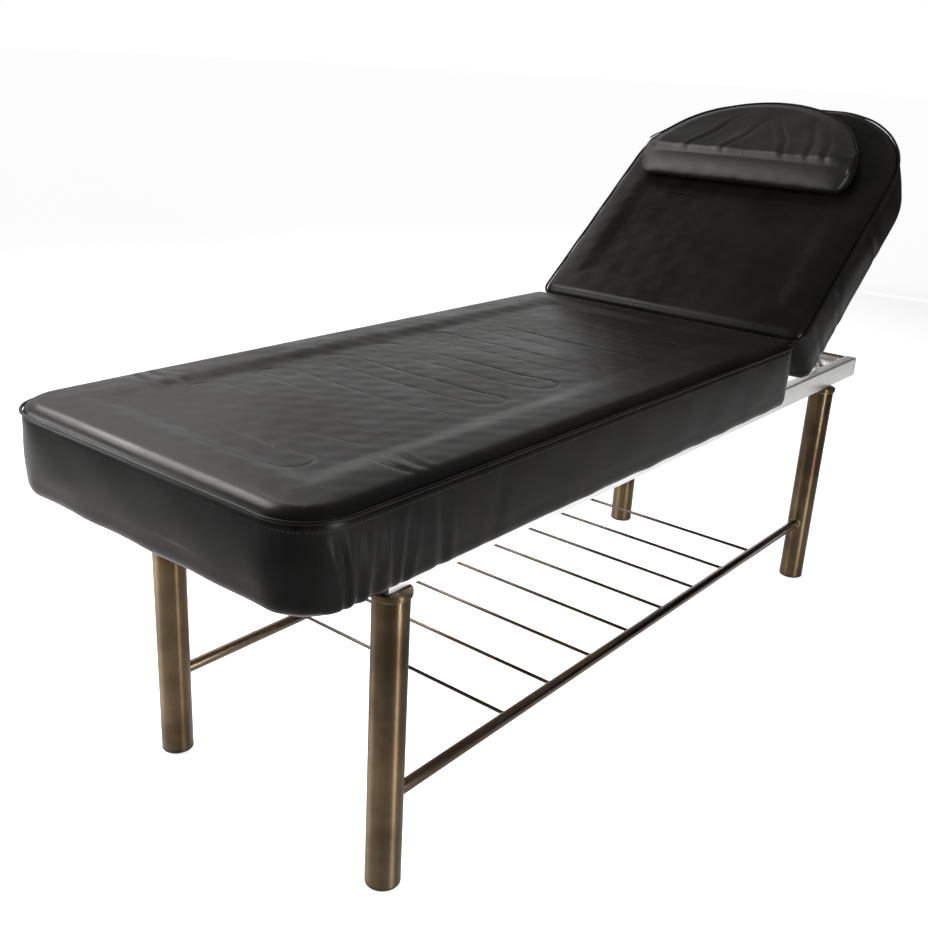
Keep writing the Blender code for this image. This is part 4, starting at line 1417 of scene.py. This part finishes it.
put_on(seat, seat_leatherette, "base", "leatherette", "seat_cover", "seat_foam")
print("seat cushion:", len(seat.data.polygons), "faces")

# %% [markdown]
# ### The backrest
#
# The backrest is the same kind of cushion with a round head end. It is made lying flat in line with the
# seat and starts just behind the hinge.

# %% Make the backrest
HEAD_CORNER = 0.205
BACK_START = 0.0094
BACK_END = 0.6644
BACK_SHAPE = plan_shape(
    HINGE.x + BACK_START + HINGE_ROOM, HINGE.x + BACK_END, cover_high.y, HINGE_CORNER, HEAD_CORNER
)
BACK_FOLDS = [
    (0.060, -1, 0.010, 0.0016, 0.009), (0.150, -1, -0.008, 0.0012, 0.010), (0.330, -1, 0.012, 0.0010, 0.012),
    (0.080, 1, 0.010, 0.0016, 0.009), (0.240, 1, -0.010, 0.0012, 0.011),
]
back = foam_cushion(
    "backrest_cushion", BACK_SHAPE, cover_low.z, SEAT_SEAM_Z, BACK_LOOPS, loop_reach=(0.020, 0.395),
    dip=0.0035, border=(0.055, 0.095), side_folds=BACK_FOLDS, top_creases=[], seed=8,
)
print("backrest cushion:", len(back.data.polygons), "faces")

# %% [markdown]
# ## Piping and stitching
#
# Piping is a cord wrapped in the cover's material and caught in the seam. It is drawn as a closed
# curve with a round section and made a mesh. The row of stitches below it is laid on the side band by
# looking for its surface from outside.

# %% Helpers for piping and stitches
PIPING_RADIUS = 0.0024
PIPING_OUT = 0.0012
PIPING_UP = 0.0014
PIPING_WAVER = 0.0004
PIPING_STEP = 0.006
STITCH_PITCH = 0.0056
STITCH_SHARE = 0.68
STITCH_RADIUS = 0.00048
STITCH_WIDTHS = (0.55, 1.0, 1.0, 0.55)
STITCH_OUT, STITCH_IN = 0.00010, 0.00025


def surface_of(piece):
    spots = [vertex.co for vertex in piece.data.vertices]
    return BVHTree.FromPolygons(spots, [face.vertices for face in piece.data.polygons])


def thick_line(name, lines, radius, closed, resolution):
    """A mesh of round cords along lines of (x, y, z) or (x, y, z, width)."""
    curve = bpy.data.curves.new(name, "CURVE")
    curve.dimensions = "3D"
    curve.bevel_depth = radius
    curve.bevel_resolution = resolution
    curve.use_fill_caps = not closed
    for line in lines:
        spline = curve.splines.new("POLY")
        spline.points.add(len(line) - 1)
        for point, spot in zip(spline.points, line):
            point.co = (*spot[:3], 1)
            point.radius = spot[3] if len(spot) > 3 else 1
        spline.use_cyclic_u = closed
    piece = bpy.data.objects.new(name, curve)
    bpy.context.scene.collection.objects.link(piece)
    select_only(piece)
    bpy.ops.object.convert(target="MESH")
    piece = settle(bpy.context.object, name)
    smooth(piece, 80)
    return piece


def piping(name, shape, height, seed):
    path, outward = outline_path(shape, PIPING_STEP)
    lift = PIPING_WAVER * ripple(path[:, 0], path[:, 1], 0.09, seed)
    line = []
    for spot, out, rise in zip(path, outward, lift):
        line.append((*(spot + out * (PIPING_OUT + rise * 0.5)), height + PIPING_UP + rise))
    return thick_line(name, [line], PIPING_RADIUS, True, 5)


def stitches(name, cushion, shape, height):
    """A row of stitches on the side band, each four points of a path that has four a stitch."""
    surface = surface_of(cushion)
    path, outward = outline_path(shape, STITCH_PITCH / 4)
    lines = []
    for start in range(0, len(path) - 4, 4):
        line = []
        out = Vector((*outward[start], 0))
        way = path[(start + 4) % len(path)] - path[start]
        for step, width in enumerate(STITCH_WIDTHS):
            spot = path[start] + way * (step * STITCH_SHARE / 3)
            hit = surface.ray_cast(Vector((*spot, height)) + out * 0.03, -out, 0.06)[0]
            if hit:
                line.append((*(hit + out * (STITCH_OUT if width == 1.0 else -STITCH_IN)), width))
        if len(line) == 4:
            lines.append(line)
    return thick_line(name, lines, STITCH_RADIUS, False, 1)


print("piping helpers ready")

# %% [markdown]
# ### The seat's seam
#
# The piping wavers by a few tenths of a millimetre, as a sewn seam does, and the stitches run a finger's
# width below it.

# %% Add piping and stitches to the seat
STITCH_DROP = 0.0098

seat_piping = piping("seat_piping", SEAT_SHAPE, SEAT_SEAM_Z, 3)
put_on(seat_piping, plain_leatherette, "base", "leatherette")
seat_stitches = stitches("seat_stitches", seat, SEAT_SHAPE, SEAT_SEAM_Z - STITCH_DROP)
put_on(seat_stitches, thread_finish, "base", "leatherette")
print("seat stitches:", len(seat_stitches.data.polygons), "faces")

# %% [markdown]
# ## Head pillow
#
# The pillow is a half-moon wedge: thick along its straight front and thin towards the head. It is
# sewn from a top panel and a side band with piping between, and a strip of hook-and-loop tape holds
# it. It is made on the flat backrest, so that its underside follows the cover.

# %% Make the fastening tape
PILLOW_DEPTH = 0.245
PILLOW_FROM_HEAD = 0.025
PILLOW_FRONT = BACK_SHAPE["box"][1] - PILLOW_FROM_HEAD - PILLOW_DEPTH
PILLOW_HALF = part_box("head_pillow")[1].y
TAPE_THICKNESS = 0.0018
TAPE_GAP = 0.0003
back_surface = surface_of(back)


def cover_height(x, y):
    hit = back_surface.ray_cast(Vector((x, y, 1)), Vector((0, 0, -1)))[0]
    return hit.z if hit else SEAT_SEAM_Z


tape_low, tape_high = lying("pillow_fastening_strip")
bpy.ops.object.select_all(action="DESELECT")
bpy.ops.mesh.primitive_grid_add(
    x_subdivisions=6, y_subdivisions=60, size=1, location=((tape_low.x + tape_high.x) / 2, 0, 0)
)
tape = bpy.context.object
tape.scale = (tape_high.x - tape_low.x, tape_high.y - tape_low.y, 1)
settle(tape, "fastening_tape")
points = points_of(tape)
points[:, 2] = [cover_height(x, y) + TAPE_GAP for x, y, _ in points]
put_points(tape, points)
thickness = tape.modifiers.new("thickness", "SOLIDIFY")
thickness.thickness = TAPE_THICKNESS
thickness.offset = 1
apply_modifiers(tape)
smooth(tape)
put_on(tape, tape_finish, "backrest", "fastening_tape", "pillow_fastening_strip")
print("tape made")

# %% [markdown]
# ### The pillow's blank
#
# The outline has two small corners in front and two very large ones behind, which make the half moon.
# Its top follows a sloping roof, and its underside the cover of the backrest, which it clears by a hair,
# and by the thickness of the tape where that lies.

# %% Measure the pillow
PILLOW_CORNER = 0.030
PILLOW_BASE = 0.0090
PILLOW_FRONT_HEIGHT = 0.056
PILLOW_REAR_HEIGHT = 0.026
PILLOW_GAP = 0.0006
TAPE_MARGIN = 0.015
TAPE_SLOPE = 0.012
TAPE_ROOM = 0.0004

pillow_turn = PILLOW_FRONT + PILLOW_CORNER
pillow_reach = PILLOW_DEPTH - PILLOW_CORNER
PILLOW_SHAPE = {
    "box": (PILLOW_FRONT, PILLOW_FRONT + PILLOW_DEPTH, -PILLOW_HALF, PILLOW_HALF),
    "corners": [
        (pillow_turn, 0.0, pillow_reach, PILLOW_HALF, 1, -1),
        (pillow_turn, 0.0, pillow_reach, PILLOW_HALF, 1, 1),
        (pillow_turn, -(PILLOW_HALF - PILLOW_CORNER), PILLOW_CORNER, PILLOW_CORNER, -1, -1),
        (pillow_turn, PILLOW_HALF - PILLOW_CORNER, PILLOW_CORNER, PILLOW_CORNER, -1, 1),
    ],
}


def roof_of_pillow(x):
    share = (x - PILLOW_FRONT) / PILLOW_DEPTH
    front = SEAT_SEAM_Z + PILLOW_BASE + PILLOW_FRONT_HEIGHT
    return front + (PILLOW_REAR_HEIGHT - PILLOW_FRONT_HEIGHT) * share


def floor_of_pillow(points):
    over_tape = smoothstep(tape_high.y + TAPE_MARGIN - np.abs(points[:, 1]), 0, TAPE_MARGIN)
    over_tape *= smoothstep(points[:, 0], tape_low.x - TAPE_SLOPE, tape_low.x)
    over_tape *= 1 - smoothstep(points[:, 0], tape_high.x, tape_high.x + TAPE_SLOPE)
    cover = np.array([cover_height(x, y) for x, y, _ in points])
    return cover + PILLOW_GAP + (TAPE_THICKNESS + TAPE_ROOM) * over_tape


print("pillow: %.0f by %.0f mm" % (1000 * PILLOW_DEPTH, 2000 * PILLOW_HALF))

# %% [markdown]
# ### The pillow's cover
#
# The rings of the blank are set between roof and underside. The front leans: its upper edge lies well
# back and its belly stands forward. Then the cover swells a little, held at its seam and its hem.

# %% Make the pillow
PILLOW_CELL = 0.006
PILLOW_ROWS = 8
PILLOW_HEM = 0.006
PILLOW_HEM_RISE = 0.0015
PILLOW_HEM_INSETS = (0.0040, 0.0120, 0.0300)
PILLOW_SEAM_WIDTH = 0.0004
LEAN_AT = (0.0, 0.25, 0.64, 0.86, 1.0)
LEAN = (-0.044, -0.022, 0.010, 0.006, -0.002)
LEAN_REACH = 0.120
PILLOW_PRESSURE = 4.0
PILLOW_SWELL = 0.005
PILLOW_SLACK = 0.001

insets = (0.0,) * PILLOW_ROWS + PILLOW_HEM_INSETS
rings = [(-float(number), inset) for number, inset in enumerate(insets, start=1)]
pillow, level = cushion_blank("pillow_cushion", PILLOW_SHAPE, 2.0, rings, PILLOW_CELL)
points = points_of(pillow)
roof, floor_height = roof_of_pillow(points[:, 0]), floor_of_pillow(points)
drop = np.clip(level / PILLOW_ROWS, 0, 1)
points[:, 2] = roof + (floor_height + PILLOW_HEM - roof) * drop
under = floor_height + np.where(level == PILLOW_ROWS + 1, PILLOW_HEM_RISE, 0)
points[:, 2] = np.where(level > PILLOW_ROWS, under, points[:, 2])
inside, outward = from_edge(points[:, :2], PILLOW_SHAPE)
side = level > 0
unfolded = points.copy()
unfolded[side, :2] += outward[side] * (roof - points[:, 2])[side][:, None]
facing = smoothstep(-outward[:, 0], 0.1, 0.9) * (points[:, 0] < pillow_turn + 0.02)
facing = np.where(level == 0, 1 - smoothstep(points[:, 0] - PILLOW_FRONT, 0.0, LEAN_REACH), facing)
points[:, 0] -= np.where(level <= PILLOW_ROWS, facing * np.interp(drop, LEAN_AT, LEAN), 0)
put_points(pillow, points)
keep(pillow, "plan", unfolded)
keep(pillow, "rest", points)
keep(pillow, "level", np.stack([level, level, level], axis=1))
held = np.where((level == 0) & (inside < PILLOW_SEAM_WIDTH), 1.0, 0.0)
held[level >= PILLOW_ROWS] = 1.0
puff(pillow, held, PILLOW_PRESSURE, PILLOW_SWELL, PILLOW_SLACK)
subdivide(pillow)
print("pillow blank:", len(pillow.data.polygons), "faces")

# %% [markdown]
# ### The pillow's folds and piping
#
# Folds fan out over the top from the front edge, each a groove with a swelling beside it. The piping
# follows the round edge only and ends at the front, so its path is opened where it leaves out the front.

# %% Shape the pillow
PILLOW_CROWN = 0.0100
PILLOW_BELLY = 0.0030
PILLOW_FOLDS = [
    (-0.205, 0.35, 0.0022), (-0.165, 0.30, 0.0016), (-0.120, 0.50, 0.0018), (0.060, -0.45, 0.0014),
    (0.150, -0.55, 0.0018),
]
PILLOW_PIPING_RADIUS = 0.0016
PILLOW_PIPING_OUT = 0.0006
PILLOW_PIPING_START = 0.034
PILLOW_PIPING_STEP = 0.005

rest, level = kept(pillow, "rest"), kept(pillow, "level")[:, 0]
points = points_of(pillow)
inside, outward = from_edge(rest[:, :2], PILLOW_SHAPE)
x, y = rest[:, 0] - PILLOW_FRONT, rest[:, 1]
rise = PILLOW_CROWN * smoothstep(inside, 0, 0.040)
rise += 0.0012 * ripple(x, y, 0.12, 4) * smoothstep(inside, 0.01, 0.05)
fold_reach = smoothstep(inside, 0.004, 0.030) * (1 - smoothstep(x, 0.10, 0.20))
for centre_y, lean, depth in PILLOW_FOLDS:
    off = y - centre_y - lean * x - 0.004 * np.sin(x * 50)
    rise -= depth * crease(off, 0.006) * fold_reach
    rise += 0.7 * depth * crease(off - 0.014, 0.009) * fold_reach
points[:, 2] += np.where(level < 0.5, rise, 0)
arch = np.sin(np.clip(level / PILLOW_ROWS, 0, 1) * math.pi)
bulge = PILLOW_BELLY * arch + 0.0006 * ripple(x * 3, y, 0.05, 9) * arch
wall = (level >= 0.5) & (level < PILLOW_ROWS)
points[:, :2] += outward * np.where(wall, bulge, 0)[:, None]
put_points(pillow, points)
forget(pillow, "rest", "level")
smooth(pillow, 70)
put_on(pillow, pillow_leatherette, "backrest", "leatherette", "head_pillow")

line = []
for spot, out in zip(*outline_path(PILLOW_SHAPE, PILLOW_PIPING_STEP)):
    along = spot[0] - PILLOW_FRONT
    if along > PILLOW_PIPING_START:
        back_shift = -LEAN[0] * (1 - float(smoothstep(along, 0.0, LEAN_REACH)))
        place_above = spot + out * PILLOW_PIPING_OUT + np.array([back_shift, 0])
        line.append((*place_above, roof_of_pillow(spot[0]) + PILLOW_PIPING_OUT))
pairs = zip(line[-1:] + line[:-1], line)
steps = [abs(here[0] - before[0]) + abs(here[1] - before[1]) for before, here in pairs]
opening = steps.index(max(steps))
line = line[opening:] + line[:opening]
pillow_piping = thick_line("pillow_piping", [line], PILLOW_PIPING_RADIUS, False, 4)
put_on(pillow_piping, plain_leatherette, "backrest", "leatherette")
print("pillow:", len(pillow.data.polygons), "faces")

# %% [markdown]
# ### Turning the backrest up
#
# Its seam is finished first. The pillow slips a little towards the far side, as it does in use, and then
# every piece of the backrest is turned about the hinge by the angle of rest.

# %% Turn the backrest up
PILLOW_SLIP = 0.010

back_piping = piping("backrest_piping", BACK_SHAPE, SEAT_SEAM_Z, 6)
put_on(back_piping, plain_leatherette, "backrest", "leatherette")
back_stitches = stitches("backrest_stitches", back, BACK_SHAPE, SEAT_SEAM_Z - STITCH_DROP)
put_on(back_stitches, thread_finish, "backrest", "leatherette")
put_on(back, back_leatherette, "backrest", "leatherette", "back_cover", "back_foam")
for piece in (pillow, pillow_piping):
    piece.data.transform(Matrix.Translation((0, PILLOW_SLIP, 0)))
for piece in (back, back_piping, back_stitches, tape, pillow, pillow_piping):
    turn_up(piece)
print("backrest turned up by %.1f degrees" % math.degrees(REST_ANGLE))

# %% [markdown]
# ## The studio
#
# Black leatherette shows its shape only through what it mirrors, so the room is white and most lights
# stand on the far side of the bed, where the camera sees them in the cover. The floor is a pale plane.
# The camera sees it white through Light Path, and a reflection sees it darker, which keeps the sides of
# the cushions as dark as they are. It still takes the object's shadow.

# %% Build the floor
FLOOR_SIZE = 400
FLOOR_DROP = 0.0002
FLOOR_GLOW = 0.64
FLOOR_GLOW_IN_GLOSS = 0.40


def seen_by_eye(tree):
    """1 for a ray of the camera, less for a reflection or through glass, 0 for light on the object."""
    paths = tree.nodes.new("ShaderNodeLightPath")
    seen = maths(tree, "MAXIMUM", paths.outputs["Is Glossy Ray"], paths.outputs["Is Transmission Ray"])
    seen = maths(tree, "MULTIPLY", seen, FLOOR_GLOW_IN_GLOSS)
    return maths(tree, "MAXIMUM", paths.outputs["Is Camera Ray"], seen)


bpy.ops.object.select_all(action="DESELECT")
bpy.ops.mesh.primitive_plane_add(size=FLOOR_SIZE, location=(0, 0, -FLOOR_DROP))
floor = settle(bpy.context.object, "studio_floor")
floor_paint, tree, shader = new_finish("floor_paint", (0.80, 0.80, 0.80), 0.75, specular=0.1)
shader.inputs["Emission Color"].default_value = (1, 1, 1, 1)
link(tree, maths(tree, "MULTIPLY", seen_by_eye(tree), FLOOR_GLOW), shader.inputs["Emission Strength"])
floor.data.materials.append(floor_paint)
print("floor laid")

# %% [markdown]
# ### Dark screens
#
# The near sides of the cushions mirror what stands behind the camera. Dark screens round that side keep
# them almost black, and the camera itself doesn't see the screens.

# %% Stand dark screens on the camera's side
SCREEN_DISTANCE = 4.6
SCREEN_SIZE = (1.62, 3.7, 1)
SCREEN_MIDDLE = 1.9
SCREEN_BEARINGS = range(204, 384, 20)

screen_paint = new_finish("screen_paint", (0.012, 0.012, 0.012), 0.9)[0]
for azimuth in SCREEN_BEARINGS:
    around = math.radians(azimuth)
    bpy.ops.object.select_all(action="DESELECT")
    bpy.ops.mesh.primitive_plane_add(
        size=1, rotation=(math.pi / 2, 0, around + math.pi / 2),
        location=(SCREEN_DISTANCE * math.cos(around), SCREEN_DISTANCE * math.sin(around), SCREEN_MIDDLE),
    )
    screen = bpy.context.object
    screen.scale = SCREEN_SIZE
    settle(screen, "studio_screen_%d" % azimuth)
    screen.data.materials.append(screen_paint)
    screen.visible_camera = False
    screen.visible_shadow = False
print("screens stand round the camera's side")

# %% [markdown]
# ### The room and the lights
#
# The world lights the object at a low even level, and is white to the camera. In a reflection its upper
# part is darker, as a ceiling is. Two local lights near the foot end draw the shine along the roll and
# on the pillow's front, a large one fills, and a tall strip draws a narrow light along the legs.

# %% Hang the lights
WORLD_LIGHT = 0.40
CEILING_START = 0.12
CEILING_FULL = 0.75
CEILING_SHARE = 0.35
WARM_WHITE, PALE_WHITE, WHITE = (1.0, 0.97, 0.93), (1.0, 0.98, 0.95), (1, 1, 1)
LIGHTS = {
    "key_light": ((-0.95, 1.45, 1.95), (-0.5, 0, 0.6), (0.9, 0.7), 48, WARM_WHITE),
    "low_light": ((-1.80, 1.75, 1.10), (0.6, 0, 0.95), (0.9, 0.8), 34, WHITE),
    "fill_light": ((0.3, 2.6, 2.9), (0.1, 0, 0.5), (2.4, 1.4), 36, PALE_WHITE),
    "leg_strip": ((-0.47, -2.95, 0.80), (0, 0, 0.5), (0.12, 2.4), 110, WHITE),
}

world = bpy.data.worlds.new("studio_room")
bpy.context.scene.world = world
world.use_nodes = True
tree = world.node_tree
background = tree.nodes["Background"]
way = tree.nodes.new("ShaderNodeSeparateXYZ")
link(tree, tree.nodes.new("ShaderNodeTexCoord").outputs["Generated"], way.inputs[0])
walls = ramp(tree, way.outputs["Z"], CEILING_START, CEILING_FULL, 1.0, CEILING_SHARE)
paths = tree.nodes.new("ShaderNodeLightPath")
to_camera = maths(tree, "MULTIPLY", paths.outputs["Is Camera Ray"], 1 - WORLD_LIGHT)
reflected = maths(tree, "MAXIMUM", paths.outputs["Is Glossy Ray"], paths.outputs["Is Transmission Ray"])
in_gloss = maths(tree, "MULTIPLY", reflected, maths(tree, "SUBTRACT", walls, WORLD_LIGHT))
level_of_light = maths(tree, "ADD", maths(tree, "ADD", to_camera, in_gloss), WORLD_LIGHT)
background.inputs["Color"].default_value = (1, 1, 1, 1)
link(tree, level_of_light, background.inputs["Strength"])

for name, (spot, target, size, power, colour) in LIGHTS.items():
    lamp = bpy.data.lights.new(name, "AREA")
    lamp.shape = "RECTANGLE"
    lamp.size, lamp.size_y = size
    lamp.energy = power
    lamp.color = colour
    lamp_object = bpy.data.objects.new(name, lamp)
    bpy.context.scene.collection.objects.link(lamp_object)
    lamp_object.location = spot
    lamp_object.rotation_euler = (Vector(target) - Vector(spot)).to_track_quat("-Z", "Y").to_euler()
bpy.context.scene.view_settings.view_transform = "Standard"
print("lights hung:", len(LIGHTS))

# %% [markdown]
# ## The end
#
# The looks must not change the size of the part.

# %% Finish
print("scene built")
